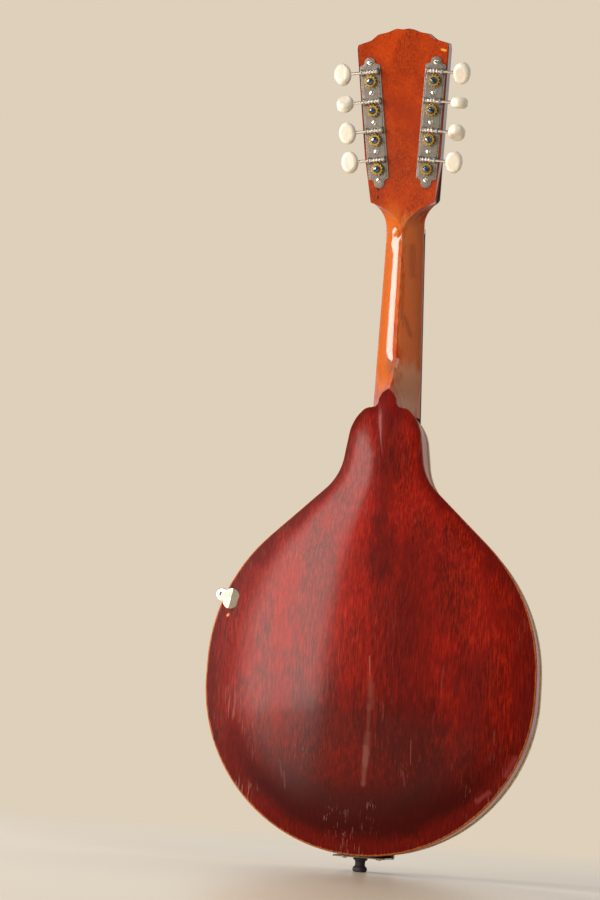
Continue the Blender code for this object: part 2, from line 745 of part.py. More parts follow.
def make_neck(look):
    """Neck and head, carved from one piece."""
    start = BODY_TOP + GAP
    heights = [start + (BODY_TOP + HEEL_LENGTH - start) * index / 8 for index in range(9)]
    nut_end = (neck_frame() @ Vector((0.0, 0.0, NECK_LENGTH + NUT_LENGTH))).z
    heights += [heights[-1] + (nut_end - heights[-1]) * share for share in (0.5, 1.0)]
    mesh = bmesh.new()
    skin(mesh, [neck_ring(height) for height in heights])
    cut = bmesh.ops.bisect_plane(mesh, geom=list(mesh.verts) + list(mesh.edges) + list(mesh.faces),
                                 plane_co=(0.0, INNER_EDGE_Y - GAP, 0.0), plane_no=(0.0, 1.0, 0.0),
                                 clear_outer=True)
    rim = [item for item in cut["geom_cut"] if isinstance(item, bmesh.types.BMEdge)]
    bmesh.ops.holes_fill(mesh, edges=rim)
    neck = finish("neck", mesh, look)

    front_y, back_y = VENEER_THICKNESS + GAP, HEAD_THICKNESS
    front, back = head_half_front(0.0), head_half_back()
    slab = bmesh.new()
    rings = []
    for half, y in ((front, front_y), (back, back_y)):
        whole = half + [(-x, z) for x, z in reversed(half[:-1])]
        rings.append([Vector((x, y, z)) for x, z in whole])
    skin(slab, rings)
    head = cutter(slab, head_frame())
    combine(neck, [head], "UNION")
    return combine(neck, [cutter(post_bore(), tuner_frame(side, index)) for side, index in tuners()],
                   "DIFFERENCE")


def make_veneer(look):
    half = head_half_front(VENEER_START)
    shape = half[:-1] + [(0.0, half[-1][1])]
    whole = shape + [(-x, z) for x, z in reversed(shape[:-1])]
    veneer = finish("headstock_veneer", prism(whole, 0.0, VENEER_THICKNESS), look, head_frame())
    return combine(veneer, [cutter(post_bore(), tuner_frame(side, index)) for side, index in tuners()],
                   "DIFFERENCE")


def make_fingerboard(look):
    """Fingerboard with its frets, drawn as one side profile and widened towards the body."""
    profile = [(0.0, -FINGERBOARD_THICKNESS)]
    for fret in range(1, FRETS + 1):
        place = SCALE * (1 - 2 ** (-fret / 12))
        profile += [(place - FRET_HALF_WIDTH, -FINGERBOARD_THICKNESS),
                    (place - FRET_HALF_WIDTH / 2, -FINGERBOARD_THICKNESS - FRET_HEIGHT),
                    (place + FRET_HALF_WIDTH / 2, -FINGERBOARD_THICKNESS - FRET_HEIGHT),
                    (place + FRET_HALF_WIDTH, -FINGERBOARD_THICKNESS)]
    profile += [(FINGERBOARD_LENGTH, -FINGERBOARD_THICKNESS), (FINGERBOARD_LENGTH, 0.0), (0.0, 0.0)]
    mesh = bmesh.new()
    rings = []
    for side in (-1.0, 1.0):
        ring = []
        for place, y in profile:
            along = NECK_LENGTH - place
            ring.append(Vector((side * neck_half_width(along), y, along)))
        rings.append(ring)
    skin(mesh, rings)
    return finish("fingerboard", mesh, look, neck_frame(), smooth=False)


def make_nut(look):
    """Nut between the fingerboard and the veneer, its top just below the strings."""
    height = FINGERBOARD_THICKNESS + NUT_STRING_HEIGHT - max(BASS_DIAMETERS) / 2 - GAP
    low, high = NECK_LENGTH + GAP, NECK_LENGTH + NUT_LENGTH
    profile = [(0.0, low), (0.0, high), (-height * 0.8, high), (-height, high - NUT_LENGTH * 0.45),
               (-height, low)]
    mesh = bmesh.new()
    rings = [[Vector((x, y, z)) for y, z in profile] for x in (-NUT_HALF_WIDTH, NUT_HALF_WIDTH)]
    skin(mesh, rings)
    return finish("nut", mesh, look, neck_frame(), smooth=False)


# Tuners

def tuners():
    """All tuners as (side, index), treble side first."""
    return [(side, index) for side in (1, -1) for index in range(TUNERS_PER_SIDE)]


def tuner_place(index):
    """Distance of a post from the middle line, and its height along the head."""
    return FIRST_TUNER_HALF + TUNER_SPREAD * index, FIRST_TUNER + TUNER_PITCH * index


def tuner_frame(side, index):
    """Frame at a post on the head's back face, with +Z along the tuner plate."""
    out, up = tuner_place(index)
    tilt = math.atan2(TUNER_SPREAD, TUNER_PITCH)
    place = Matrix.Translation((side * out, HEAD_THICKNESS, up))
    return head_frame() @ place @ Matrix.Rotation(side * tilt, 4, "Y")


def post_bore():
    """Cylinder that cuts a post's hole through the head and its veneer."""
    radius = POST_RADIUS + RUN + GAP
    return rod(radius, -HEAD_THICKNESS - HOLE_MARGIN, HOLE_MARGIN, 12, axis=1)


def plate_outline():
    """Outline of a tuner plate, with square shoulders and a round tab at each end."""
    step = math.hypot(TUNER_PITCH, TUNER_SPREAD)
    top = step * (TUNERS_PER_SIDE - 1) + PLATE_TIP
    half = []
    for end, shoulder, way in ((-PLATE_FOOT, PLATE_FOOT_SHOULDER, 1), (top, PLATE_TIP_SHOULDER, -1)):
        tab = []
        for turn in (0.0, 35.0, 70.0):
            angle = math.radians(turn)
            out, fall = PLATE_TAB_RADIUS * math.sin(angle), PLATE_TAB_RADIUS * (1 - math.cos(angle))
            tab.append((out, end + way * fall))
        tab.append((PLATE_TAB_RADIUS, end + way * (PLATE_TAB_RADIUS + shoulder) / 2))
        tab.append((TUNER_PLATE_HALF_WIDTH, end + way * shoulder))
        half += tab if way > 0 else tab[::-1]
    return mirrored(half)


def plate_screw_places():
    """Heights of the plate's screws along its line."""
    step = math.hypot(TUNER_PITCH, TUNER_SPREAD)
    places = [-PLATE_FOOT + FOOT_SCREW_INSET]
    places += [step * index + (WORM_OFFSET + WORM_RADIUS + step - GEAR_TIP_RADIUS) / 2
               for index in range(TUNERS_PER_SIDE - 1)]
    places.append(step * (TUNERS_PER_SIDE - 1) + PLATE_TIP - TIP_SCREW_INSET)
    return places


def make_tuner_plate(name, side, look):
    """Tuner plate with its bent-up ears and its screw heads."""
    frame = tuner_frame(side, 0)
    step = math.hypot(TUNER_PITCH, TUNER_SPREAD)
    face = GAP + TUNER_PLATE_THICKNESS
    plate = finish(name, prism(plate_outline(), GAP, face), look, frame)
    added, bores = [], []
    top = WORM_HEIGHT + EAR_RISE
    for index in range(TUNERS_PER_SIDE):
        centre = step * index + WORM_OFFSET
        for place in (-EAR_OFFSET, EAR_OFFSET):
            half = EAR_WIDTH / 2
            shape = [(face / 2, centre - half), (top - half * EAR_ROUND, centre - half),
                     (top, centre - half * EAR_CREST), (top, centre + half * EAR_CREST),
                     (top - half * EAR_ROUND, centre + half), (face / 2, centre + half)]
            ear = prism(shape, place - EAR_THICKNESS / 2, place + EAR_THICKNESS / 2, axis=0)
            added.append(cutter(ear, frame))
        bore = rod(WORM_SHAFT_RADIUS + RUN, -EAR_BORE_REACH, EAR_BORE_REACH, 10, axis=0)
        bores.append(cutter(bore, frame @ Matrix.Translation((0.0, WORM_HEIGHT, centre))))
        hole = rod(POST_RADIUS + RUN, 0.0, face + THIN_MARGIN / 2, 12, axis=1)
        bores.append(cutter(hole, frame @ Matrix.Translation((0.0, 0.0, step * index))))
    for place in plate_screw_places():
        profile = [(PLATE_SCREW_RADIUS, face / 2), (PLATE_SCREW_RADIUS, face + PLATE_SCREW_HEIGHT * SCREW_RIM),
                   (PLATE_SCREW_RADIUS * SCREW_CROWN, face + PLATE_SCREW_HEIGHT)]
        head = turned(profile, 10, axis=1)
        added.append(cutter(head, frame @ Matrix.Translation((0.0, 0.0, place))))
    combine(plate, added, "UNION")
    return combine(plate, bores, "DIFFERENCE")


def gear_points(height):
    """Outline of the gear, with a gap facing the worm."""
    points = []
    for tooth in range(GEAR_TEETH):
        middle = 2 * math.pi * (tooth + 0.5) / GEAR_TEETH
        for radius, half in ((GEAR_ROOT_RADIUS, -TOOTH_ROOT / 2), (GEAR_TIP_RADIUS, -TOOTH_TIP / 2),
                             (GEAR_TIP_RADIUS, TOOTH_TIP / 2), (GEAR_ROOT_RADIUS, TOOTH_ROOT / 2)):
            angle = middle + half / radius
            points.append(Vector((radius * math.sin(angle), height, radius * math.cos(angle))))
    return points


def make_post(name, frame, look):
    """String post with its gear and the screw that holds the gear."""
    low = WORM_HEIGHT - GEAR_THICKNESS / 2
    high = WORM_HEIGHT + GEAR_THICKNESS / 2
    gear = bmesh.new()
    skin(gear, [gear_points(low), gear_points(high)])
    front = -HEAD_THICKNESS - POST_LENGTH
    shaft = turned([(POST_RADIUS * POST_TIP, front), (POST_RADIUS, front + POST_EDGE),
                    (POST_RADIUS, WORM_HEIGHT - POST_STEP), (GEAR_SCREW_RADIUS, WORM_HEIGHT),
                    (GEAR_SCREW_RADIUS, high + GEAR_SCREW_HEIGHT * SCREW_RIM),
                    (GEAR_SCREW_RADIUS * GEAR_SCREW_CROWN, high + GEAR_SCREW_HEIGHT)], 10, axis=1)
    post = finish(name, gear, look, frame)
    return combine(post, [cutter(shaft, frame)], "UNION")


def worm_mesh(side):
    """Worm and shaft along X, with the button's end outwards. The bass side is a mirror image."""
    mesh = bmesh.new()
    sides = 8
    half = WORM_TURNS * WORM_PITCH / 2
    marks = [(-WORM_CREST / 2, WORM_RADIUS), (WORM_CREST / 2, WORM_RADIUS),
             (WORM_CREST / 2 + WORM_FLANK, WORM_CORE_RADIUS), (WORM_PITCH - WORM_CREST / 2 - WORM_FLANK,
                                                             WORM_CORE_RADIUS)]
    columns = []
    turns = range(-WORM_TURNS, WORM_TURNS + 1)
    for index in range(sides):
        angle = 2 * math.pi * index / sides
        column = []
        for turn in turns:
            for offset, radius in marks:
                place = WORM_PITCH * (turn + index / sides) + offset
                inside = -half < place < half
                here = radius if inside else WORM_CORE_RADIUS
                column.append((here, min(max(place, -half), half), angle))
        columns.append(column)

    def point(radius, place, angle):
        return Vector((side * place, -radius * math.sin(angle), -radius * math.cos(angle)))

    grid = [[mesh.verts.new(point(*spot)) for spot in column] for column in columns]
    rows = len(grid[0])
    shift = len(marks)
    for index in range(sides):
        for row in range(rows - 1):
            if index < sides - 1:
                after = grid[index + 1]
                low, high = after[row], after[row + 1]
            elif row + 1 + shift < rows:
                low, high = grid[0][row + shift], grid[0][row + shift + 1]
            else:
                continue
            mesh.faces.new((grid[index][row], grid[index][row + 1], high, low))
    bmesh.ops.remove_doubles(mesh, verts=mesh.verts, dist=MERGE)
    loose = [face for face in mesh.faces if face.calc_area() < 1e-13]
    bmesh.ops.delete(mesh, geom=loose, context="FACES")
    inner_end, outer_end = -EAR_OFFSET - EAR_THICKNESS, BUTTON_CENTRE - BUTTON_HALF_LENGTH + BUTTON_GRIP
    for end, last in ((-half, inner_end), (half, outer_end)):
        rims = [edge for edge in mesh.edges if edge.is_boundary and
                all(abs(side * v.co.x - end) < MERGE for v in edge.verts)]
        shoulder = math.copysign(EAR_OFFSET - EAR_THICKNESS / 2 - RUN, end)
        for place, radius in ((shoulder, WORM_CORE_RADIUS), (shoulder, WORM_SHAFT_RADIUS),
                              (last, WORM_SHAFT_RADIUS)):
            made = bmesh.ops.extrude_edge_only(mesh, edges=rims)["geom"]
            for vert in [item for item in made if isinstance(item, bmesh.types.BMVert)]:
                reach = math.hypot(vert.co.y, vert.co.z)
                vert.co = Vector((side * place, vert.co.y * radius / reach, vert.co.z * radius / reach))
            rims = [item for item in made if isinstance(item, bmesh.types.BMEdge)]
        bmesh.ops.contextual_create(mesh, geom=rims)
    return mesh


def button_mesh(side, turn):
    """Oval tuner button across the shaft, turned about it, with a blind bore for the shaft."""
    steps = 16
    half = BUTTON_THICKNESS / 2
    rings = []
    for level, inset in ((-half, BUTTON_EDGE), (-half + BUTTON_EDGE, 0.0), (half - BUTTON_EDGE, 0.0),
                         (half, BUTTON_EDGE)):
        centre = (side * BUTTON_CENTRE, 0.0)
        edge = ellipse(BUTTON_HALF_LENGTH - inset, BUTTON_HALF_HEIGHT - inset, steps, centre)
        rings.append([Vector((x, level, z)) for x, z in edge])
    mesh = bmesh.new()
    skin(mesh, rings)
    bmesh.ops.rotate(mesh, verts=mesh.verts, cent=(0.0, 0.0, 0.0),
                     matrix=Matrix.Rotation(math.radians(side * turn), 3, "X"))
    return mesh


def make_tuner(side, index, looks):
    """Post with gear, worm shaft and button of one tuner."""
    label = "%s_%d" % ("treble" if side > 0 else "bass", index + 1)
    frame = tuner_frame(side, index)
    make_post("string_post_" + label, frame, looks["brass"])
    axis = frame @ Matrix.Translation((0.0, WORM_HEIGHT, WORM_OFFSET))
    finish("worm_shaft_" + label, worm_mesh(side), looks["nickel"], axis)
    turn = (TREBLE_BUTTON_TURNS if side > 0 else BASS_BUTTON_TURNS)[index]
    button = finish("tuner_button_" + label, button_mesh(side, turn), looks["ivoroid"], axis)
    inner = side * (BUTTON_CENTRE - BUTTON_HALF_LENGTH)
    bore = rod(WORM_SHAFT_RADIUS + RUN, inner - side * THIN_MARGIN,
               inner + side * (BUTTON_GRIP + GAP), 8, axis=0)
    combine(button, [cutter(bore, axis)], "DIFFERENCE")


# Strings

def saddle_point():
    """Place of the strings' centres on the saddle, as (y, z)."""
    lift = NUT_STRING_HEIGHT + (OCTAVE_STRING_HEIGHT - NUT_STRING_HEIGHT) * SCALE / octave_length()
    point = neck_frame() @ Vector((0.0, -FINGERBOARD_THICKNESS - lift, NECK_LENGTH - SCALE))
    return point.y, point.z


def octave_length():
    """Distance from the nut to the octave fret."""
    return SCALE * (1 - 2 ** (-OCTAVE_FRET / 12))


def tail_plate_y():
    """Outer face of the tailpiece's upper plate."""
    return -(EDGE_Y + TAIL_LIFT + TAIL_SHEET)


def string_route(side, order):
    """Points of one string from its hook over the saddle and the nut to its post."""
    diameter = (BASS_DIAMETERS if side < 0 else TREBLE_DIAMETERS)[order]
    at_nut, at_saddle = STRING_AT_NUT[order], STRING_AT_SADDLE[order]
    index = STRING_TUNER[order]
    saddle_y, saddle_z = saddle_point()
    hook = Vector((side * at_saddle * STRING_AT_HOOK_SHARE, tail_plate_y() - HOOK_HEIGHT * 0.5,
                   BODY_BOTTOM + HOOK_HEIGHT_ON_PLATE + HOOK_RADIUS + GAP + diameter / 2))
    points = [hook, Vector((side * at_saddle, saddle_y, saddle_z))]
    nut = neck_frame() @ Vector((side * at_nut, -FINGERBOARD_THICKNESS - NUT_STRING_HEIGHT,
                                 NECK_LENGTH + NUT_LENGTH * 0.3))
    points.append(nut)
    frame = head_frame()
    start = frame.inverted() @ nut
    out, up = tuner_place(index)
    radius = POST_RADIUS + GAP + diameter / 2
    post = Vector((side * out, up))
    away = post - Vector((start.x, start.z))
    lean = math.asin(radius / away.length) + math.atan2(side * away.x, away.y)
    height = STRING_REST[order]
    for step in range(STRING_WRAP_STEPS + 1):
        angle = lean - math.pi / 2 + math.radians(STRING_WRAP) * step / STRING_WRAP_STEPS
        place = Vector((side * (out + radius * math.sin(angle)), -height + diameter * 1.5 * step
                        / STRING_WRAP_STEPS, up + radius * math.cos(angle)))
        points.append(frame @ place)
    return points, diameter


def make_string(side, order, look):
    """One string as a tube along its route."""
    points, diameter = string_route(side, order)
    name = "string_%s_%d" % ("treble" if side > 0 else "bass", order + 1)
    data = bpy.data.curves.new(name, "CURVE")
    data.dimensions = "3D"
    data.bevel_depth = diameter / 2
    data.bevel_resolution = 1
    data.use_fill_caps = True
    run = data.splines.new("POLY")
    run.points.add(len(points) - 1)
    for spot, point in zip(run.points, points):
        spot.co = (*point, 1.0)
    item = bpy.data.objects.new(name, data)
    bpy.context.collection.objects.link(item)
    data.materials.append(look)
    return item


# Bridge

def bridge_levels():
    """Heights in front of the body of the base's top, the wheels' two faces and the saddle's two faces."""
    apex = EDGE_Y + TOP_ARCH
    base_top = apex + GAP + BRIDGE_BASE_HEIGHT
    wheel_low = base_top + WHEEL_DROP
    wheel_high = wheel_low + WHEEL_THICKNESS
    saddle_low = wheel_high + GAP
    saddle_high = -saddle_point()[0] - max(BASS_DIAMETERS) / 2 - GAP
    return base_top, wheel_low, wheel_high, saddle_low, saddle_high


def make_bridge(looks):
    """Bridge base with studs, two thumb wheels and the saddle that they carry."""
    base_top, wheel_low, wheel_high, saddle_low, saddle_high = bridge_levels()
    _, z = saddle_point()
    steps = 12
    rings = []
    for index in range(steps + 1):
        x = BRIDGE_WIDTH / 2 * (2 * index / steps - 1)
        share = abs(x) / (BRIDGE_WIDTH / 2)
        top = -base_top + BASE_END_DROP * share ** BASE_END_POWER
        half = BRIDGE_BASE_DEPTH / 2
        low = [top_y(x, z + way * half) - GAP for way in (-1, 1)]
        thin = half * BASE_TOP_SHARE
        corners = [(low[0], -half), (low[1], half), (top, thin), (top, -thin)]
        rings.append([Vector((x, y, z + along)) for y, along in corners])
    mesh = bmesh.new()
    skin(mesh, rings)
    base = finish("bridge_base", mesh, looks["ebony"], smooth=False)
    studs = []
    for side in (-1, 1):
        place = Matrix.Translation((side * STUD_SPACING / 2, 0.0, z))
        stud = rod(STUD_RADIUS, -saddle_low - STUD_GRIP, -base_top + THIN_MARGIN, 10, axis=1)
        studs.append(cutter(stud, place))
    combine(base, studs, "UNION")

    half_depth = SADDLE_DEPTH / 2
    rings = []
    for index in range(steps + 1):
        x = SADDLE_WIDTH / 2 * (2 * index / steps - 1)
        share = abs(x) / (SADDLE_WIDTH / 2)
        top = saddle_high - (saddle_high - saddle_low) * SADDLE_END_DROP * share ** SADDLE_END_POWER
        rings.append([Vector((x, -saddle_low, z - half_depth)), Vector((x, -saddle_low, z + half_depth)),
                      Vector((x, -top, z + half_depth * SADDLE_CREST)),
                      Vector((x, -top, z - half_depth * SADDLE_CREST))])
    mesh = bmesh.new()
    skin(mesh, rings)
    saddle = finish("bridge_saddle", mesh, looks["ebony"], smooth=False)
    holes = []
    for side in (-1, 1):
        place = Matrix.Translation((side * STUD_SPACING / 2, 0.0, z))
        hole = rod(STUD_RADIUS + RUN, -saddle_high - THIN_MARGIN, -saddle_low + THIN_MARGIN, 10, axis=1)
        holes.append(cutter(hole, place))
    combine(saddle, holes, "DIFFERENCE")
    edge = WHEEL_EDGE
    for label, side in (("treble", 1), ("bass", -1)):
        bore = STUD_RADIUS + RUN
        face = WHEEL_RADIUS - edge
        profile = [(bore, -wheel_low), (face, -wheel_low), (WHEEL_RADIUS, -wheel_low - edge),
                   (WHEEL_RADIUS, -wheel_high + edge), (face, -wheel_high), (bore, -wheel_high)]
        place = Matrix.Translation((side * STUD_SPACING / 2, 0.0, z))
        finish("bridge_wheel_" + label, turned_ring(profile, 12, axis=1), looks["brass"], place)


# Tail

def make_tailpiece(look):
    """Bent plate on the rim and over the top's edge, with eight string hooks."""
    top = tail_plate_y() + TAIL_SHEET / 2
    rim_z = BODY_BOTTOM - GAP - TAIL_SHEET / 2
    path = [(TAIL_SKIRT, rim_z), (top, rim_z), (top, BODY_BOTTOM + TAIL_LENGTH)]
    shape = strip(path, TAIL_SHEET)
    mesh = bmesh.new()
    rings = [[Vector((x, y, z)) for y, z in shape] for x in (-TAIL_HALF_WIDTH, TAIL_HALF_WIDTH)]
    skin(mesh, rings)
    plate = finish("tailpiece", mesh, look, smooth=False)
    hooks = []
    for side in (-1, 1):
        for at_saddle in STRING_AT_SADDLE:
            hook = rod(HOOK_RADIUS, tail_plate_y() - HOOK_HEIGHT, top, 6, axis=1)
            place = Matrix.Translation((side * at_saddle * STRING_AT_HOOK_SHARE, 0.0,
                                        BODY_BOTTOM + HOOK_HEIGHT_ON_PLATE))
            hooks.append(cutter(hook, place))
    combine(plate, hooks, "UNION")
    bore = cutter(rod(PIN_SHAFT_RADIUS + RUN, 0.0, BODY_BOTTOM + BORE_MARGIN, 16))
    return combine(plate, [bore], "DIFFERENCE")


def cover_frame():
    """Frame of the cover at its lower end, with +Z up along the strings."""
    y = tail_plate_y() - HOOK_HEIGHT - COVER_CLEARANCE
    place = Matrix.Translation((0.0, y, BODY_BOTTOM + COVER_START))
    return place @ Matrix.Rotation(math.radians(COVER_SLOPE), 4, "X")


def make_tail_cover(look):
    """Bent cover that slides on over the tailpiece."""
    inside = TAIL_HALF_WIDTH + GAP + COVER_SHEET / 2
    path = [(-inside, COVER_SKIRT), (-inside, COVER_DROP), (-inside + COVER_SHOULDER, -COVER_SHEET),
            (inside - COVER_SHOULDER, -COVER_SHEET), (inside, COVER_DROP), (inside, COVER_SKIRT)]
    mesh = prism(strip(path, COVER_SHEET), 0.0, COVER_LENGTH, axis=2)
    return finish("tailpiece_cover", mesh, look, cover_frame())


def make_end_pin(look):
    """Turned pin with a knob, a neck and a flange under the tailpiece."""
    flange = BODY_BOTTOM - TAIL_SHEET - 2 * GAP
    wide = PIN_HEAD_RADIUS
    profile = [(wide - PIN_EDGE[0], 0.0), (wide, PIN_EDGE[1]), (wide, PIN_KNOB),
               (PIN_NECK_RADIUS, PIN_NECK_START), (PIN_NECK_RADIUS, flange - PIN_FLANGE_START),
               (wide, flange - PIN_FLANGE), (wide, flange), (PIN_SHAFT_RADIUS, flange),
               (PIN_SHAFT_RADIUS, BODY_BOTTOM + PIN_DEPTH)]
    return finish("end_pin", turned(profile, 16), look)


# Pickguard and clamp

def clamp_frame():
    """Frame on the body's edge at the clamp, with +X outwards and +Y towards the back."""
    angle = math.radians(CLAMP_ANGLE)
    centre_x = LOWER_RADIUS - UPPER_RADIUS
    centre_z = BODY_BOTTOM + LOWER_RADIUS + SIDE_STRAIGHT
    place = Matrix.Translation((centre_x + UPPER_RADIUS * math.cos(angle), 0.0,
                                centre_z + UPPER_RADIUS * math.sin(angle)))
    return place @ Matrix.Rotation(-angle, 4, "Y")


def guard_back_y():
    """Face of the pickguard towards the soundboard."""
    return -(EDGE_Y + TOP_ARCH + GUARD_LIFT)


def guard_low():
    """Height of the pickguard's lower edge, just above the bridge."""
    return saddle_point()[1] + BRIDGE_BASE_DEPTH / 2 + GUARD_BRIDGE_GAP


def guard_outline():
    """Outline of the pickguard as (x, z)."""
    points = []
    for index in range(GUARD_STEPS + 1):
        share = index / GUARD_STEPS
        z = guard_low() + GUARD_LENGTH * share
        turn = math.pi * (GUARD_START + (1 - GUARD_START) * share)
        bulge = math.sin(turn) ** GUARD_FULLNESS if index < GUARD_STEPS else 0.0
        points.append((GUARD_INNER + GUARD_TIP + (GUARD_REACH - GUARD_TIP) * bulge, z))
    points.append((GUARD_INNER, guard_low() + GUARD_LENGTH))
    points.append((GUARD_INNER, guard_low()))
    return points


def make_guard(looks):
    """Raised pickguard, the pin under its upper end and the bracket at the rim."""
    back = guard_back_y()
    finish("pickguard", prism(guard_outline(), back - GUARD_THICKNESS, back), looks["guard"], smooth=False)
    x = GUARD_INNER + GUARD_PIN_OUT
    z = guard_low() + GUARD_LENGTH - GUARD_PIN_DROP
    foot = min(top_y(x, z - GUARD_PIN_RADIUS), top_y(x, z + GUARD_PIN_RADIUS)) - GAP
    pin = rod(GUARD_PIN_RADIUS, back + GAP, foot, 10, axis=1)
    finish("pickguard_pin", pin, looks["nickel"], Matrix.Translation((x, 0.0, z)))

    side_x = CLAMP_SIDE_CLEAR + CLAMP_SHEET / 2
    edge = -(EDGE_Y + GAP + CLAMP_SHEET / 2)
    arm = back + GAP + CLAMP_SHEET / 2
    frame = clamp_frame()
    inner = (GUARD_INNER + GUARD_REACH * ARM_REACH_SHARE - frame.translation.x) / frame.to_3x3().col[0].x
    path = [(ROD_REACH + TAB_MARGIN, BRACKET_TAB), (side_x, BRACKET_TAB), (side_x, edge), (-ARM_FOOT, edge),
            (-ARM_FOOT - ARM_STEP, edge - ARM_STEP), (inner * ARM_BEND_SHARE, arm), (inner, arm)]
    bracket = finish("pickguard_bracket", prism(strip(path, CLAMP_SHEET), -CLAMP_WIDTH / 2, CLAMP_WIDTH / 2,
                                                axis=2), looks["nickel"], frame, smooth=False)
    shaft = rod(ROD_RADIUS, BRACKET_TAB, ROD_TIP, 10, axis=1)
    return combine(bracket, [cutter(shaft, frame @ Matrix.Translation((ROD_REACH, 0.0, 0.0)))], "UNION")


def make_clamp(looks):
    """Foot that grips the back's edge, and the knurled nut that draws it tight."""
    side_x = CLAMP_SIDE_CLEAR + CLAMP_SHEET / 2
    disc = EDGE_Y + CLAMP_DISC_LIFT + CLAMP_SHEET / 2
    path = [(ROD_REACH + TAB_MARGIN, FOOT_TAB), (side_x, FOOT_TAB), (side_x, disc),
            (-FOOT_UNDER_DISC, disc)]
    frame = clamp_frame()
    foot = finish("clamp_foot", prism(strip(path, CLAMP_SHEET), -CLAMP_WIDTH / 2, CLAMP_WIDTH / 2, axis=2),
                  looks["nickel"], frame, smooth=False)
    pad = prism(ellipse(CLAMP_DISC_HALF_REACH, CLAMP_DISC_HALF_WIDTH, 20), disc - CLAMP_SHEET * DISC_SINK,
                disc + CLAMP_SHEET * (1 - DISC_SINK))
    turn = Matrix.Rotation(math.radians(CLAMP_DISC_TURN), 4, "Y")
    pad_place = frame @ Matrix.Translation((-CLAMP_DISC_HALF_REACH, 0.0, 0.0)) @ turn
    combine(foot, [cutter(pad, pad_place)], "UNION")
    rod_place = frame @ Matrix.Translation((ROD_REACH, 0.0, 0.0))
    hole = rod(ROD_RADIUS + RUN, FOOT_TAB - HOLE_MARGIN, FOOT_TAB + THIN_MARGIN, 10, axis=1)
    combine(foot, [cutter(hole, rod_place)], "DIFFERENCE")
    low = FOOT_TAB + CLAMP_SHEET / 2 + GAP
    high = low + CLAMP_NUT_LENGTH
    bevel = CLAMP_NUT_EDGE
    bore = ROD_RADIUS + RUN
    profile = [(bore, low), (CLAMP_NUT_RADIUS - bevel, low), (CLAMP_NUT_RADIUS, low + bevel),
               (CLAMP_NUT_RADIUS, high - bevel), (CLAMP_NUT_RADIUS - bevel, high), (bore, high)]
    return finish("clamp_nut", turned_ring(profile, 16, axis=1), looks["nickel"], rod_place)


def main():
    clear_scene()
    looks = {
        "spruce": material("spruce", (0.55, 0.26, 0.09), 0.35),
        "mahogany": material("mahogany", (0.28, 0.045, 0.02), 0.3),
        "neck": material("neck_mahogany", (0.42, 0.13, 0.04), 0.3),
        "plain_wood": material("plain_wood", (0.62, 0.45, 0.27), 0.6),
        "ebony": material("ebony", (0.025, 0.02, 0.018), 0.45),
        "ivoroid": material("ivoroid", (0.86, 0.78, 0.58), 0.35),
        "bone": material("bone", (0.85, 0.80, 0.68), 0.4),
        "nickel": material("nickel", (0.66, 0.63, 0.57), 0.28, 1.0),
        "brass": material("brass", (0.66, 0.48, 0.20), 0.35, 1.0),
        "steel": material("string_steel", (0.70, 0.70, 0.70), 0.25, 1.0),
        "guard": material("pickguard_celluloid", (0.10, 0.03, 0.015), 0.25),
    }
    make_soundboard(looks["spruce"])
    make_back(looks["mahogany"])
    make_rim(looks["mahogany"])
    make_lining("top_lining", -1.0, looks["plain_wood"])
    make_lining("back_lining", 1.0, looks["plain_wood"])
    make_blocks(looks["plain_wood"])
    make_tone_bar(looks["plain_wood"])
    make_binding(looks["ivoroid"])
    make_hole_ring(looks["ivoroid"])
    make_neck(looks["neck"])
    make_veneer(looks["ebony"])
    make_fingerboard(looks["ebony"])
    make_nut(looks["bone"])
    make_tuner_plate("tuner_plate_treble", 1, looks["nickel"])
    make_tuner_plate("tuner_plate_bass", -1, looks["nickel"])
    for side, index in tuners():
        make_tuner(side, index, looks)
    for side in (1, -1):
        for order in range(len(STRING_AT_NUT)):
            make_string(side, order, looks["steel"])
    make_bridge(looks)
    make_tailpiece(looks["nickel"])
    make_tail_cover(looks["nickel"])
    make_end_pin(looks["ebony"])
    make_guard(looks)
    make_clamp(looks)


main()
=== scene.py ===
"""Looks of an a-style mandolin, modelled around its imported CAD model.

The frame is the model's own: +Z runs up the neck, the soundboard faces -Y, the back faces +Y, +X is the
treble side, and the end pin's outer face stands on z = 0. Sizes are in metres and angles in degrees.
"""

import logging
import math
from dataclasses import dataclass, field
from enum import Enum
from typing import Callable, Iterable, Sequence

import bmesh
import bpy
from mathutils import Matrix, Vector


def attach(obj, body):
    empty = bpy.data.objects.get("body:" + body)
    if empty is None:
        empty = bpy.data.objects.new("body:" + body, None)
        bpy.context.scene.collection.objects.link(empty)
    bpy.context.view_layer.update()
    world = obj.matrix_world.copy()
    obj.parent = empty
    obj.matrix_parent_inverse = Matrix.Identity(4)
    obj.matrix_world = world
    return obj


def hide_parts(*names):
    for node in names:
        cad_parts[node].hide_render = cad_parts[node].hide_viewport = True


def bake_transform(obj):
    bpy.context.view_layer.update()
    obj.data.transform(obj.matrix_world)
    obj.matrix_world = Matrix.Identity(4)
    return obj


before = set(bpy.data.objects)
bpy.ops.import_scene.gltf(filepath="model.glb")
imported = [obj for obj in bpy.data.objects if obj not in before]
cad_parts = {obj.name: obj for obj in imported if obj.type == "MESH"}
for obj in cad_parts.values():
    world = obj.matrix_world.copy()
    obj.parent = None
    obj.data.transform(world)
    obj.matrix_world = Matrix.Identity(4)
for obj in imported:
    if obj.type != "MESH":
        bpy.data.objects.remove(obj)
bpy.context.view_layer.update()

log = logging.getLogger("mandolin")

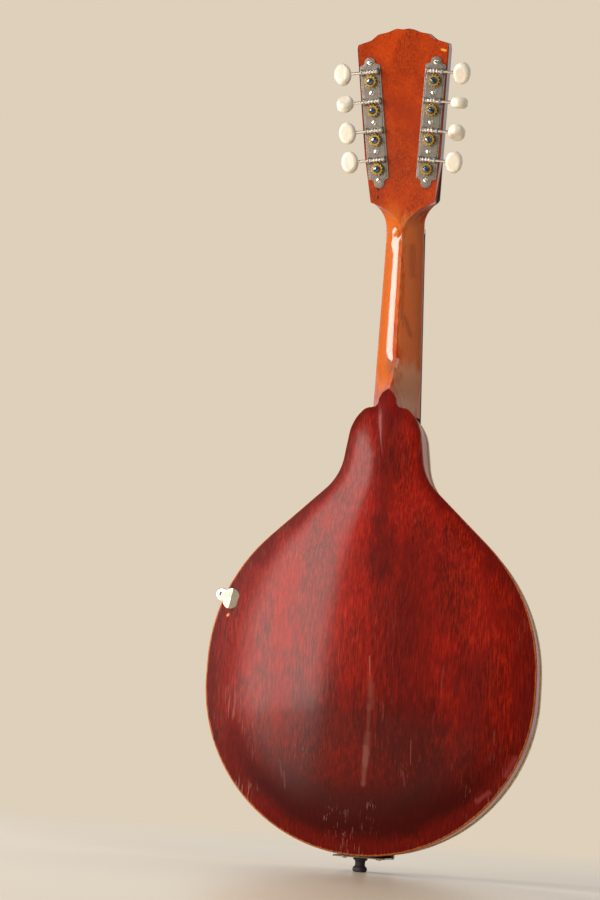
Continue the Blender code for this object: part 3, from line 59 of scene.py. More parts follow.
MERGE = 2e-6              # points that are nearer than this are one point
GAP = 0.0003              # room between pieces, as in the CAD model
EDGE = 0.0003             # usual size of a bevel
SHEET_EDGE = 0.0002       # bevel of a thin sheet
SOFT_ANGLE = 50.0         # a bevel at this angle leaves shallow corners alone
OVERSHOOT = 0.001         # how far a cutter stands past a face
STRING_Y = -0.0066        # strings at the nut, from the fingerboard's underside
STRING_ROOM = 0.0001      # beside a string in its slot
AT_NUT = (0.0136, 0.0114, 0.0052, 0.0030)
AT_SADDLE = (0.0215, 0.0189, 0.0082, 0.0056)
AT_HOOK = 0.86            # spacing of the strings at the hooks, as a share of that at the saddle

Flat = tuple[float, float]
Colour = tuple[float, float, float]
Piece = bpy.types.Object
Socket = bpy.types.NodeSocket


class Body(Enum):
    """Bodies of the model that aren't named after a side or a string."""

    ROOT = "body"
    SADDLE = "saddle"
    COVER = "cover"
    FOOT = "clamp_foot"
    NUT = "clamp_nut"


class Slot(Enum):
    """Material slots that the finishes carry."""

    SPRUCE = "spruce"
    MAHOGANY = "mahogany"
    NECK = "neck_mahogany"
    PLAIN_WOOD = "plain_wood"
    EBONY = "ebony"
    IVOROID = "ivoroid"
    BONE = "bone"
    NICKEL = "nickel"
    BRASS = "brass"
    STEEL = "string_steel"
    GUARD = "pickguard_celluloid"


class Side(Enum):
    """The two sides of the instrument, with the sign of their X."""

    TREBLE = 1
    BASS = -1

    @property
    def label(self) -> str:
        """Name of the side in the names of nodes and pieces."""
        return self.name.lower()


GAUGES = {Side.BASS: (0.00100, 0.00100, 0.00066, 0.00066), Side.TREBLE: (0.00028, 0.00028, 0.00038, 0.00038)}


# Places and outlines

def shift(x: float, y: float, z: float) -> Matrix:
    """Matrix that moves."""
    return Matrix.Translation((x, y, z))


def turned(angle: float, axis: str) -> Matrix:
    """Matrix that turns about an axis by an angle in degrees."""
    return Matrix.Rotation(math.radians(angle), 4, axis)


def spread(low: float, high: float, steps: int) -> list[float]:
    """Even steps from one number to another, with both ends."""
    return [low + (high - low) * index / steps for index in range(steps + 1)]


def corners(low: Flat, high: Flat) -> list[Flat]:
    """Corners of a rectangle, from its first one round to the other side."""
    return [low, (high[0], low[1]), high, (low[0], high[1])]


def way_between(first: Vector, last: Vector, steps: int) -> list[Vector]:
    """Even steps from one point to another, with both ends."""
    return [first.lerp(last, index / steps) for index in range(steps + 1)]


def ellipse(half_first: float, half_second: float, steps: int, centre: Flat = (0.0, 0.0)) -> list[Flat]:
    """Points of an ellipse."""
    turns = [math.tau * index / steps for index in range(steps)]
    return [(centre[0] + half_first * math.cos(a), centre[1] + half_second * math.sin(a)) for a in turns]


def mirrored(half: Sequence[Flat]) -> list[Flat]:
    """Close an outline from a right half that starts and ends on the middle line."""
    return list(half) + [(-x, z) for x, z in reversed(half[1:-1])]


def tube_ring(points: Sequence[Flat], level: float, axis: int = 1) -> list[Vector]:
    """Lift a flat ring to a level on one axis.

    Args:
        points: Points on the two other axes.
        level: Place on the axis.
        axis: Number of the axis.

    Returns:
        The points in space.
    """
    ring = []
    for first, second in points:
        point = [first, second]
        point.insert(axis, level)
        ring.append(Vector(point))
    return ring


def rounded_path(path: Sequence[Flat], radius: float, steps: int = 5) -> list[Flat]:
    """Round the corners of a path.

    Args:
        path: Corners of the path.
        radius: Length that each corner gives up on both sides.
        steps: Number of points around a corner, less one.

    Returns:
        Points of the rounded path.
    """
    points, most = [path[0]], 2.05
    for before, corner, after in zip(path, path[1:], path[2:]):
        here = Vector(corner)
        back, ahead = Vector(before) - here, Vector(after) - here
        size = min(radius, back.length / most, ahead.length / most)
        first, last = here + back.normalized() * size, here + ahead.normalized() * size
        for index in range(steps + 1):
            share = index / steps
            point = first * (1 - share) ** 2 + here * 2 * share * (1 - share) + last * share ** 2
            points.append(tuple(point))
    points.append(path[-1])
    return points


def sheet_outline(path: Sequence[Flat], radius: float, steps: int, thickness: float) -> list[Flat]:
    """Outline of a bent sheet.

    Args:
        path: Corners of the sheet's middle line.
        radius: Length that each bend takes on both sides of its corner.
        steps: Number of points around a bend, less one.
        thickness: Thickness of the sheet.

    Returns:
        Points of the outline.
    """
    left, right, least = [], [], 0.3
    path = rounded_path(path, radius, steps)
    for index, point in enumerate(path):
        here = Vector(point)
        before = (here - Vector(path[index - 1])).normalized() if index else None
        after = (Vector(path[index + 1]) - here).normalized() if index < len(path) - 1 else None
        along = ((before or after) + (after or before)).normalized()
        across = Vector((-along.y, along.x))
        edge = before or after
        reach = thickness / 2 / max(least, across.dot(Vector((-edge.y, edge.x))))
        left.append(here + across * reach)
        right.append(here - across * reach)
    return [tuple(p) for p in left + right[::-1]]


# Shaping, by the same operators that a modeller uses by hand

def rest_selection() -> None:
    """Leave object mode with nothing selected."""
    if bpy.context.mode != "OBJECT":
        bpy.ops.object.mode_set(mode="OBJECT")
    bpy.ops.object.select_all(action="DESELECT")


def pick(item: Piece) -> None:
    """Select one object alone and make it active.

    Args:
        item: Object to select.
    """
    rest_selection()
    item.select_set(True)
    bpy.context.view_layer.objects.active = item


def ring_object(name: str, points: Sequence[Vector]) -> Piece:
    """Add a circle with a vertex for each point and move its vertices onto the points.

    Args:
        name: Name of the new object.
        points: Points of the ring in order.

    Returns:
        The new object.
    """
    rest_selection()
    bpy.ops.mesh.primitive_circle_add(vertices=len(points), radius=0.01, location=(0.0, 0.0, 0.0))
    item = bpy.context.object
    item.name = item.data.name = name
    for vertex, point in zip(item.data.vertices, points):
        vertex.co = point
    return item


def loft(name: str, rings: Sequence[Sequence[Vector]], capped: bool = True) -> Piece:
    """Extrude a ring from section to section.

    Args:
        name: Name of the new object.
        rings: Sections with the same number of points each.
        capped: Whether the two ends are closed by faces.

    Returns:
        The new object, whose vertices keep the number of their section in the attribute "ring".
    """
    item = ring_object(name, rings[0])
    bpy.ops.object.mode_set(mode="EDIT")
    mesh = bmesh.from_edit_mesh(item.data)
    place = mesh.verts.layers.int.new("place")
    mesh.verts.layers.int.new("ring")
    for index, vert in enumerate(mesh.verts):
        vert[place] = index
    bmesh.update_edit_mesh(item.data)
    bpy.ops.mesh.select_all(action="SELECT")
    if capped:
        bpy.ops.mesh.edge_face_add()
    for number, ring in enumerate(rings[1:], start=1):
        bpy.ops.mesh.extrude_region_move()
        mesh = bmesh.from_edit_mesh(item.data)
        place = mesh.verts.layers.int["place"]
        section = mesh.verts.layers.int["ring"]
        for vert in mesh.verts:
            if vert.select:
                vert.co = ring[vert[place]]
                vert[section] = number
        bmesh.update_edit_mesh(item.data)
    bpy.ops.object.mode_set(mode="OBJECT")
    return item


def slab(name: str, points: Sequence[Flat], low: float, high: float, axis: int = 1) -> Piece:
    """Extrude a flat outline from one level to another.

    Args:
        name: Name of the new object.
        points: Outline on the two other axes.
        low: First level.
        high: Second level.
        axis: Number of the axis that the outline is pushed along.

    Returns:
        The new object.
    """
    return loft(name, [tube_ring(points, low, axis), tube_ring(points, high, axis)])


def spun(name: str, profile: Sequence[Flat], steps: int) -> Piece:
    """Spin a profile once around the Y axis.

    Args:
        name: Name of the new object.
        profile: Closed profile as (radius, level); a side that lies on the axis is dropped.
        steps: Number of faces around.

    Returns:
        The new object.
    """
    item = ring_object(name, [Vector((radius, level, 0.0)) for radius, level in profile])
    bpy.ops.object.mode_set(mode="EDIT")
    mesh = bmesh.from_edit_mesh(item.data)
    on_axis = [edge for edge in mesh.edges if all(vert.co.x < MERGE for vert in edge.verts)]
    bmesh.ops.delete(mesh, geom=on_axis, context="EDGES")
    bmesh.update_edit_mesh(item.data)
    bpy.ops.mesh.select_all(action="SELECT")
    bpy.ops.mesh.spin(steps=steps, angle=math.tau, center=(0.0, 0.0, 0.0), axis=(0.0, 1.0, 0.0))
    bpy.ops.mesh.select_all(action="SELECT")
    bpy.ops.mesh.remove_doubles(threshold=MERGE)
    bpy.ops.object.mode_set(mode="OBJECT")
    return item


def round_bar(name: str, radius: float, low: float, high: float, steps: int) -> Piece:
    """Plain round bar around the Y axis, between two levels."""
    return spun(name, corners((0.0, low), (radius, high)), steps)


def threaded_bar(name: str, radius: float, groove: float, low: float, high: float, count: int) -> Piece:
    """Round bar around the Y axis with grooves for a thread.

    Args:
        name: Name of the new object.
        radius: Outer radius.
        groove: Depth of the grooves.
        low: Level of its first end.
        high: Level of its other end.
        count: Number of crests and grooves together.

    Returns:
        The bar.
    """
    start, sides = 0.00002, 20
    profile = [(0.0, low)]
    for turn, level in enumerate(spread(low, high, count)[:-1]):
        profile.append((radius - (groove if turn % 2 else 0.0), level + start))
    return spun(name, profile + [(0.0, high)], sides)


def tube(name: str, points: Sequence[Vector], radius: float, sides: int = 8) -> Piece:
    """Loft a round rod along a route.

    Args:
        name: Name of the new object.
        points: Points of the route.
        radius: Radius of the rod.
        sides: Number of faces around.

    Returns:
        The rod.
    """
    rings, across = [], None
    for index, point in enumerate(points):
        before = points[max(0, index - 1)]
        after = points[min(len(points) - 1, index + 1)]
        along = (after - before).normalized()
        if across is None:
            across = along.orthogonal().normalized()
        across = (across - along * across.dot(along)).normalized()
        other = along.cross(across)
        rings.append([point + (across * math.cos(turn) + other * math.sin(turn)) * radius
                      for turn in (math.tau * (side + 0.5) / sides for side in range(sides))])
    return loft(name, rings)


def knurled(name: str, radii: Flat, low: float, high: float, teeth: int, depth: float, edge: float) -> Piece:
    """Ring with a knurled edge around the Y axis.

    Args:
        name: Name of the new object.
        radii: Radius of its hole and outer radius.
        low: Level of its first face.
        high: Level of its other face.
        teeth: Number of grooves.
        depth: Depth of the grooves.
        edge: Size of the bevels.

    Returns:
        The ring.
    """
    def ring(size: float, level: float, groove: float) -> list[Vector]:
        """Circle whose radius falls in every other pair of points.

        Args:
            size: Radius of the circle.
            level: Its place along Y.
            groove: How far the radius falls.

        Returns:
            The circle's points.
        """
        points, per_tooth = [], 4
        for index in range(teeth * per_tooth):
            turn = math.tau * index / (teeth * per_tooth)
            here = size - (groove if index % per_tooth in (2, 3) else 0.0)
            points.append(Vector((here * math.cos(turn), level, here * math.sin(turn))))
        return points

    bore, radius = radii
    rings = [ring(bore, low, 0.0), ring(radius - edge, low, 0.0), ring(radius, low + edge, depth),
             ring(radius, high - edge, depth), ring(radius - edge, high, 0.0), ring(bore, high, 0.0),
             ring(bore, low, 0.0)]
    return loft(name, rings, capped=False)


def placed(item: Piece, place: Matrix) -> Piece:
    """Move a mesh, and not its object, to a place.

    Args:
        item: Object whose mesh moves.
        place: Matrix that moves it.

    Returns:
        The same object.
    """
    item.data.transform(place)
    if place.determinant() < 0:
        item.data.flip_normals()
    return item


def with_modifier(item: Piece, kind: str, **settings: object) -> Piece:
    """Add a modifier and apply it.

    Args:
        item: Object to change.
        kind: Kind of modifier.
        settings: Values of the modifier.

    Returns:
        The same object.
    """
    pick(item)
    step = item.modifiers.new(kind.lower(), kind)
    for key, value in settings.items():
        setattr(step, key, value)
    bpy.ops.object.modifier_apply(modifier=step.name)
    return item


def clean(item: Piece) -> Piece:
    """Merge double points, drop flat faces and turn the rest outwards.

    Args:
        item: Object whose mesh is cleaned.

    Returns:
        The same object.
    """
    pick(item)
    bpy.ops.object.mode_set(mode="EDIT")
    bpy.ops.mesh.select_all(action="SELECT")
    bpy.ops.mesh.remove_doubles(threshold=MERGE)
    bpy.ops.mesh.dissolve_degenerate(threshold=MERGE)
    bpy.ops.mesh.select_all(action="SELECT")
    bpy.ops.mesh.normals_make_consistent(inside=False)
    bpy.ops.object.mode_set(mode="OBJECT")
    return item


def bevelled(item: Piece, width: float = EDGE, angle: float = 30.0, segments: int = 2) -> Piece:
    """Round the edges that are sharper than an angle.

    Args:
        item: Object to round.
        width: Width of the bevel.
        angle: Smallest angle of an edge that gets one.
        segments: Steps across the bevel.

    Returns:
        The same object.
    """
    clean(item)
    return with_modifier(item, "BEVEL", width=width, segments=segments, limit_method="ANGLE",
                         angle_limit=math.radians(angle), harden_normals=False)


def joined(name: str, items: Sequence[Piece]) -> Piece:
    """Join several objects into the first one.

    Args:
        name: Name of the result.
        items: Objects to join.

    Returns:
        The first object.
    """
    rest_selection()
    for item in items:
        item.select_set(True)
    bpy.context.view_layer.objects.active = items[0]
    if len(items) > 1:
        bpy.ops.object.join()
    items[0].name = items[0].data.name = name
    return items[0]


def cut(item: Piece, tools: Sequence[Piece], operation: str = "DIFFERENCE") -> Piece:
    """Cut an object with others, which are removed.

    Args:
        item: Object to cut.
        tools: Objects that cut it, which do not overlap each other.
        operation: Kind of Boolean step.

    Returns:
        The cut object.
    """
    clean(item)
    tool = joined("cutter", tools)
    clean(tool)
    with_modifier(item, "BOOLEAN", operation=operation, solver="EXACT", object=tool)
    bpy.data.objects.remove(tool, do_unlink=True)
    return item


def copy_of(item: Piece, name: str, place: Matrix) -> Piece:
    """Copy an object with a mesh of its own, which goes to a place.

    Args:
        item: Object to copy.
        name: Name of the copy.
        place: Matrix that moves the copy's mesh.

    Returns:
        The copy.
    """
    pick(item)
    bpy.ops.object.duplicate()
    twin = bpy.context.object
    twin.name = twin.data.name = name
    return placed(twin, place)


def with_values(item: Piece, name: str, values: Sequence[float]) -> Piece:
    """Store a number for each vertex in an attribute."""
    item.data.attributes.new(name, "FLOAT", "POINT").data.foreach_set("value", values)
    return item


def string_slots(levels: Callable[[float], Sequence[Flat]], across: Sequence[float]) -> list[Piece]:
    """Cutters for the slots of all strings.

    Args:
        levels: Function that gets a string's thickness and returns the slot's outline as (y, z).
        across: Distances of a side's strings from the middle.

    Returns:
        One cutter for each string.
    """
    slots = []
    for side in Side:
        for x, thick in zip(across, GAUGES[side]):
            half = thick / 2 + STRING_ROOM
            slots.append(slab("slot", levels(thick), side.value * x - half, side.value * x + half, axis=0))
    return slots


def deliver(item: Piece, finish: "Finish", body: str = Body.ROOT.value, nodes: Iterable[str] = (),
            smooth: float = 35.0) -> Piece:
    """Clean a piece, give it its finish and attach it to its body.

    Args:
        item: Finished object.
        finish: Its finish.
        body: Body that it rides on.
        nodes: CAD nodes that it stands for.
        smooth: Edges sharper than this stay sharp.

    Returns:
        The same object.
    """
    clean(item)
    bpy.ops.object.shade_smooth_by_angle(angle=math.radians(smooth))
    with_modifier(item, "WEIGHTED_NORMAL", keep_sharp=True, weight=70)
    for name in ("place", "ring"):
        if name in item.data.attributes:
            item.data.attributes.remove(item.data.attributes[name])
    item.data.materials.clear()
    item.data.materials.append(finish.material())
    if body:
        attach(item, body)
    if nodes:
        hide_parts(*nodes)
    log.info("%s: %d faces, rides on %s", item.name, len(item.data.polygons), body or "two bodies")
    return item


# Finishes

def tone(red: int, green: int, blue: int) -> Colour:
    """Linear colour of a display colour from 0 to 255."""
    values = [channel / 255 for channel in (red, green, blue)]
    return tuple(v / 12.92 if v <= 0.04045 else ((v + 0.055) / 1.055) ** 2.4 for v in values)


class Graph:
    """Adds nodes to a shader tree or a node group and links them."""

    def __init__(self, tree: bpy.types.NodeTree) -> None:
        """Keep the tree to work on."""
        self.tree = tree

    def feed(self, node: bpy.types.Node, inputs: dict) -> bpy.types.Node:
        """Link sockets to a node's inputs and set those that get a number or colour.

        Args:
            node: Node to feed.
            inputs: Sockets and values by the input's name or number.

        Returns:
            The same node.
        """
        for key, value in inputs.items():
            if isinstance(value, Socket):
                self.tree.links.new(value, node.inputs[key])
            else:
                node.inputs[key].default_value = value
        return node

    def add(self, kind: str, inputs: dict | None = None, **settings: object) -> bpy.types.Node:
        """Add a node.

        Args:
            kind: Node type without its prefix.
            inputs: Numbers, colours or sockets for its inputs, by name or number.
            settings: Values of its own properties.

        Returns:
            The new node.
        """
        item = self.tree.nodes.new("ShaderNode" + kind)
        for key, value in settings.items():
            setattr(item, key, value)
        return self.feed(item, inputs or {})

    def calc(self, kind: str, first: object, second: object, clamp: bool = False) -> Socket:
        """Output of a Math node."""
        return self.add("Math", {0: first, 1: second}, operation=kind, use_clamp=clamp).outputs[0]

    def times(self, first: object, second: object) -> Socket:
        """Product of two values."""
        return self.calc("MULTIPLY", first, second)

    def plus(self, first: object, second: object) -> Socket:
        """Sum of two values."""
        return self.calc("ADD", first, second)

    def less(self, first: object, second: object) -> Socket:
        """Difference of two values."""
        return self.calc("SUBTRACT", first, second)

    def swung(self, value: object, mask: Socket, size: object) -> Socket:
        """Value that a mask around one half moves up and down."""
        return self.plus(value, self.times(self.less(mask, 0.5), size))

    def vector(self, kind: str, inputs: dict, output: object = 0) -> Socket:
        """Output of a Vector Math node."""
        return self.add("VectorMath", inputs, operation=kind).outputs[output]

    def fade(self, value: object, low: object, high: object, start: float = 0.0, end: float = 1.0) -> Socket:
        """Output of a smooth Map Range node."""
        inputs = {"Value": value, "From Min": low, "From Max": high, "To Min": start, "To Max": end}
        return self.add("MapRange", inputs, interpolation_type="SMOOTHSTEP").outputs[0]

    def mix(self, share: object, first: object, second: object) -> Socket:
        """Output of a colour Mix node; plain colours may have three numbers."""
        pair = [(*c, 1.0) if isinstance(c, tuple) and len(c) == 3 else c for c in (first, second)]
        return self.add("Mix", {0: share, 6: pair[0], 7: pair[1]}, data_type="RGBA").outputs[2]

    def noise(self, vector: object, scale: float, detail: float = 3.0, roughness: float = 0.55,
              distortion: float = 0.0, stretch: Colour | None = None) -> Socket:
        """Value of a Noise Texture node.

        Args:
            vector: Coordinates.
            scale: Scale of the noise.
            detail: Number of finer layers.
            roughness: Weight of the finer layers.
            distortion: How far the noise is warped.
            stretch: Factor for each axis of the coordinates.

        Returns:
            The noise, from 0 to 1.
        """
        if stretch:
            vector = self.vector("MULTIPLY", {0: vector, 1: stretch})
        inputs = {"Vector": vector, "Scale": scale, "Detail": detail, "Roughness": roughness,
                  "Distortion": distortion}
        return self.add("TexNoise", inputs).outputs[0]

    def attribute(self, name: str) -> Socket:
        """Value of a mesh attribute."""
        return self.add("Attribute", attribute_name=name).outputs["Fac"]

    def part(self, vector: object, axis: int) -> Socket:
        """One number of a vector."""
        return self.add("SeparateXYZ", {0: vector}).outputs[axis]

    def bump(self, height: Socket, strength: float, distance: float) -> Socket:
        """Normal from a height."""
        return self.add("Bump", {"Height": height, "Strength": strength, "Distance": distance}).outputs[0]

    def group(self, tree: bpy.types.NodeTree, inputs: dict) -> bpy.types.Node:
        """Place a node group.

        Args:
            tree: The group's tree.
            inputs: Sockets and values by the input's name.

        Returns:
            The node of the group.
        """
        item = self.tree.nodes.new("ShaderNodeGroup")
        item.node_tree = tree
        return self.feed(item, inputs)


def build_group(name: str, inputs: dict[str, str], outputs: Sequence[str],
                fill: Callable[[Graph, dict], dict]) -> bpy.types.NodeTree:
    """Build a node group once and hand out the same one later.

    Args:
        name: Name of the group.
        inputs: Kind of socket by input name.
        outputs: Names of the outputs, all of them values.
        fill: Function that gets a graph and the input sockets and returns the output sockets.

    Returns:
        The node group.
    """
    if name in bpy.data.node_groups:
        return bpy.data.node_groups[name]
    tree = bpy.data.node_groups.new(name, "ShaderNodeTree")
    for label, kind in inputs.items():
        tree.interface.new_socket(name=label, in_out="INPUT", socket_type="NodeSocket" + kind)
    for label in outputs:
        tree.interface.new_socket(name=label, in_out="OUTPUT", socket_type="NodeSocketFloat")
    start = tree.nodes.new("NodeGroupInput")
    end = tree.nodes.new("NodeGroupOutput")
    made = fill(Graph(tree), {label: start.outputs[label] for label in inputs})
    for label, socket in made.items():
        tree.links.new(socket, end.inputs[label])
    return tree


def grain_group() -> bpy.types.NodeTree:
    """Wood grain along Z, with fine fibres, broad clouds and dark pores.

    Returns:
        The group's tree.
    """
    def fill(graph: Graph, given: dict) -> dict:
        """Lay three stretched noises over each other.

        Args:
            graph: Tree of the group.
            given: The group's inputs by label.

        Returns:
            Its outputs by label.
        """
        scaled = graph.vector("SCALE", {0: given["Vector"], "Scale": given["Size"]})
        fibres = graph.noise(scaled, 17.0, 4.0, 0.72, stretch=(1.0, 1.0, 0.085))
        clouds = graph.noise(scaled, 0.85, 5.0, 0.62, 0.5, stretch=(1.0, 1.0, 0.38))
        pores = graph.noise(scaled, 34.0, 2.0, 0.6, stretch=(1.0, 1.0, 0.10))
        return {"Fibres": graph.fade(fibres, 0.38, 0.72), "Clouds": graph.fade(clouds, 0.32, 0.68),
                "Pores": graph.fade(pores, 0.58, 0.70)}

    given = {"Vector": "Vector", "Size": "Float"}
    return build_group("wood_grain", given, ("Fibres", "Clouds", "Pores"), fill)


def scratch_group() -> bpy.types.NodeTree:
    """Thin worn scratches along Z that come in patches.

    Returns:
        The group's tree.
    """
    def fill(graph: Graph, given: dict) -> dict:
        """Cut thin streaks out of a stretched noise and keep them where a broad one is high.

        Args:
            graph: Tree of the group.
            given: The group's inputs by label.

        Returns:
            Its outputs by label.
        """
        lines = graph.noise(given["Vector"], 620.0, 2.0, 0.7, stretch=(1.0, 1.0, 0.035))
        where = graph.noise(given["Vector"], 21.0, 2.0, 0.6)
        limit = graph.less(0.74, graph.times(given["Amount"], 0.12))
        streaks = graph.calc("GREATER_THAN", lines, limit)
        return {"Mask": graph.times(streaks, graph.fade(where, 0.46, 0.62))}

    return build_group("worn_scratches", {"Vector": "Vector", "Amount": "Float"}, ("Mask",), fill)


def mark_group() -> bpy.types.NodeTree:
    """One painted mark along a line between two points, with a ragged edge, for wear and for painted light
    and shade.

    Returns:
        The group's tree.
    """
    def fill(graph: Graph, given: dict) -> dict:
        """Measure the distance to the line and break its edge up with noise.

        Args:
            graph: Tree of the group.
            given: The group's inputs by label.

        Returns:
            Its outputs by label.
        """
        flat = graph.vector("MULTIPLY", {0: given["Vector"], 1: (1.0, 0.0, 1.0)})
        away = graph.vector("SUBTRACT", {0: flat, 1: given["Start"]})
        line = graph.vector("SUBTRACT", {0: given["End"], 1: given["Start"]})
        dot = graph.vector("DOT_PRODUCT", {0: away, 1: line}, "Value")
        square = graph.vector("DOT_PRODUCT", {0: line, 1: line}, "Value")
        share = graph.calc("DIVIDE", dot, square, clamp=True)
        foot = graph.vector("SCALE", {0: line, "Scale": share})
        gap = graph.vector("DISTANCE", {0: away, 1: foot}, "Value")
        ragged = graph.noise(given["Vector"], 260.0, 3.0, 0.6, stretch=(1.0, 1.0, 0.3))
        swung = graph.swung(gap, ragged, graph.times(given["Width"], 2.2))
        near = graph.calc("DIVIDE", swung, given["Width"])
        return {"Mask": graph.fade(near, graph.plus(1.0, given["Soft"]), graph.less(1.0, given["Soft"]))}

    kinds = {"Vector": "Vector", "Start": "Vector", "End": "Vector", "Width": "Float", "Soft": "Float"}
    return build_group("wear_and_light_mark", kinds, ("Mask",), fill)


def tarnish_group() -> bpy.types.NodeTree:
    """Clouded plating with fine dark specks.

    Returns:
        The group's tree.
    """
    def fill(graph: Graph, given: dict) -> dict:
        """Mix a broad and a fine noise.

        Args:
            graph: Tree of the group.
            given: The group's inputs by label.

        Returns:
            Its outputs by label.
        """
        broad = graph.noise(given["Vector"], 90.0, 4.0, 0.6)
        fine = graph.noise(given["Vector"], 1500.0, 2.0, 0.6)
        return {"Cloud": graph.fade(broad, 0.34, 0.68), "Specks": graph.fade(fine, 0.60, 0.70)}

    return build_group("tarnish", {"Vector": "Vector"}, ("Cloud", "Specks"), fill)


@dataclass(frozen=True)
class Finish:
    """A material that is built once and shared by the pieces that have it."""

    name: str
    slot: Slot

    def material(self) -> bpy.types.Material:
        """Return the material, which is built the first time.

        Returns:
            The material of this name.
        """
        found = bpy.data.materials.get(self.name)
        if found:
            return found
        item = bpy.data.materials.new(self.name)
        item.use_nodes = True
        graph = Graph(item.node_tree)
        place = graph.add("TexCoord").outputs["Object"]
        graph.feed(item.node_tree.nodes["Principled BSDF"], self.paint(graph, place))
        return item

    def paint(self, graph: Graph, place: Socket) -> dict:
        """Fill the material's tree and return what its shader gets; each kind of finish has its own way."""
        raise NotImplementedError


@dataclass(frozen=True)
class WearAndLightMark:
    """A mark painted on a varnished piece: mostly wear, and also some painted light and shade."""

    start: Flat
    end: Flat
    width: float
    colour: Colour
    share: float = 0.8
    soft: float = 0.2


@dataclass(frozen=True)
class Varnish(Finish):
    """Stained wood under a glossy varnish."""

    dark: Colour
    middle: Colour
    light: Colour
    edge: Colour | None = None
    grain: float = 60.0
    gloss: float = 0.6
    roughness: float = 0.42
    coat_roughness: float = 0.16
    coat_ior: float = 1.32
    edge_start: float = 0.72
    edge_share: float = 0.85
    edge_wave: float = 0.22
    stain_and_shade_belt: Colour | None = None
    worn_edge: Colour | None = None
    scratches: float = 0.0
    scratch_colour: Colour = (0.35, 0.20, 0.17)
    marks: tuple[WearAndLightMark, ...] = ()
    fibre_share: float = 0.62
    pore_depth: float = 0.5

    def paint(self, graph: Graph, place: Socket) -> dict:
        """Lay stain, grain, edge shade, scratches and marks over each other.

        Args:
            graph: Tree of the material.
            place: Socket with the piece's own coordinates.

        Returns:
            What the shader's inputs get.
        """
        grain = graph.group(grain_group(), {"Vector": place, "Size": self.grain})
        fibres, clouds, pores = (grain.outputs[name] for name in ("Fibres", "Clouds", "Pores"))
        colour = graph.mix(clouds, self.dark, self.middle)
        colour = graph.mix(graph.times(fibres, self.fibre_share), colour, self.light)
        colour = graph.mix(graph.times(pores, self.pore_depth), colour, self.dark)
        rough = graph.fade(clouds, 0.0, 1.0, self.roughness - 0.04, self.roughness + 0.05)
        coat = graph.fade(clouds, 0.0, 1.0, self.gloss, self.gloss * 0.9)
        if self.edge:
            across = graph.attribute("across")
            coat = graph.times(coat, graph.fade(across, 0.66, 0.86, 1.0, 0.14))
            colour = self.edged(graph, place, colour, across, clouds, fibres)
        if self.scratches:
            worn = graph.group(scratch_group(), {"Vector": place, "Amount": self.scratches}).outputs[0]
            low = graph.fade(graph.part(place, 2), 0.17, 0.05)
            faint = graph.times(worn, graph.plus(graph.times(low, 0.34), 0.10))
            colour = graph.mix(faint, colour, self.scratch_colour)
        for mark in self.marks:
            ends = {"Start": (mark.start[0], 0.0, mark.start[1]), "End": (mark.end[0], 0.0, mark.end[1])}
            sizes = {"Width": mark.width, "Soft": mark.soft}
            shape = graph.group(mark_group(), {"Vector": place, **sizes, **ends}).outputs[0]
            colour = graph.mix(graph.times(shape, mark.share), colour, mark.colour)
        relief = graph.bump(graph.less(fibres, pores), 0.12, 0.00004)
        return {"Base Color": colour, "Roughness": rough, "Normal": relief, "Coat Weight": coat,
                "Coat Roughness": self.coat_roughness, "Coat IOR": self.coat_ior, "Specular IOR Level": 0.05}

    def edged(self, graph: Graph, place: Socket, colour: Socket, across: Socket, clouds: Socket,
              fibres: Socket) -> Socket:
        """Shade a plate towards its edge.

        Args:
            graph: Graph of the material.
            place: Coordinates.
            colour: Colour so far.
            across: How far a point lies towards the edge.
            clouds: Broad mask of the grain.
            fibres: Fine mask of the grain.

        Returns:
            The colour with the edge's shade, a dark belt above the tail that is partly stain and partly
            painted shade in the lower recurve, and the worn line.
        """
        waved = graph.swung(across, clouds, self.edge_wave)
        shade = graph.fade(waved, self.edge_start, 1.02, 0.0, self.edge_share)
        colour = graph.mix(shade, colour, self.edge)
        if self.stain_and_shade_belt:
            # Dark belt above the tail, in the lower recurve: partly the sunburst's stain, partly painted
            # shade.
            even = graph.swung(across, clouds, 0.05)
            ring = graph.times(graph.fade(even, 0.30, 0.72), graph.fade(even, 0.97, 0.86))
            ring = graph.times(ring, graph.fade(graph.part(place, 2), 0.135, 0.050, 0.0, 0.9))
            colour = graph.mix(ring, colour, self.stain_and_shade_belt)
        if self.worn_edge:
            line = graph.fade(graph.swung(across, fibres, 0.008), 0.993, 0.999, 0.0, 0.75)
            colour = graph.mix(line, colour, self.worn_edge)
        return colour


@dataclass(frozen=True)
class PlainWood(Finish):
    """Bare wood inside the body."""

    dark: Colour
    light: Colour
    grain: float = 70.0

    def paint(self, graph: Graph, place: Socket) -> dict:
        """Mix two wood colours by the grain.

        Args:
            graph: Tree of the material.
            place: Socket with the piece's own coordinates.

        Returns:
            What the shader's inputs get.
        """
        grain = graph.group(grain_group(), {"Vector": place, "Size": self.grain})
        fibres = grain.outputs["Fibres"]
        return {"Base Color": graph.mix(fibres, self.dark, self.light),
                "Roughness": graph.fade(grain.outputs["Clouds"], 0.0, 1.0, 0.62, 0.74),
                "Normal": graph.bump(fibres, 0.2, 0.00008)}


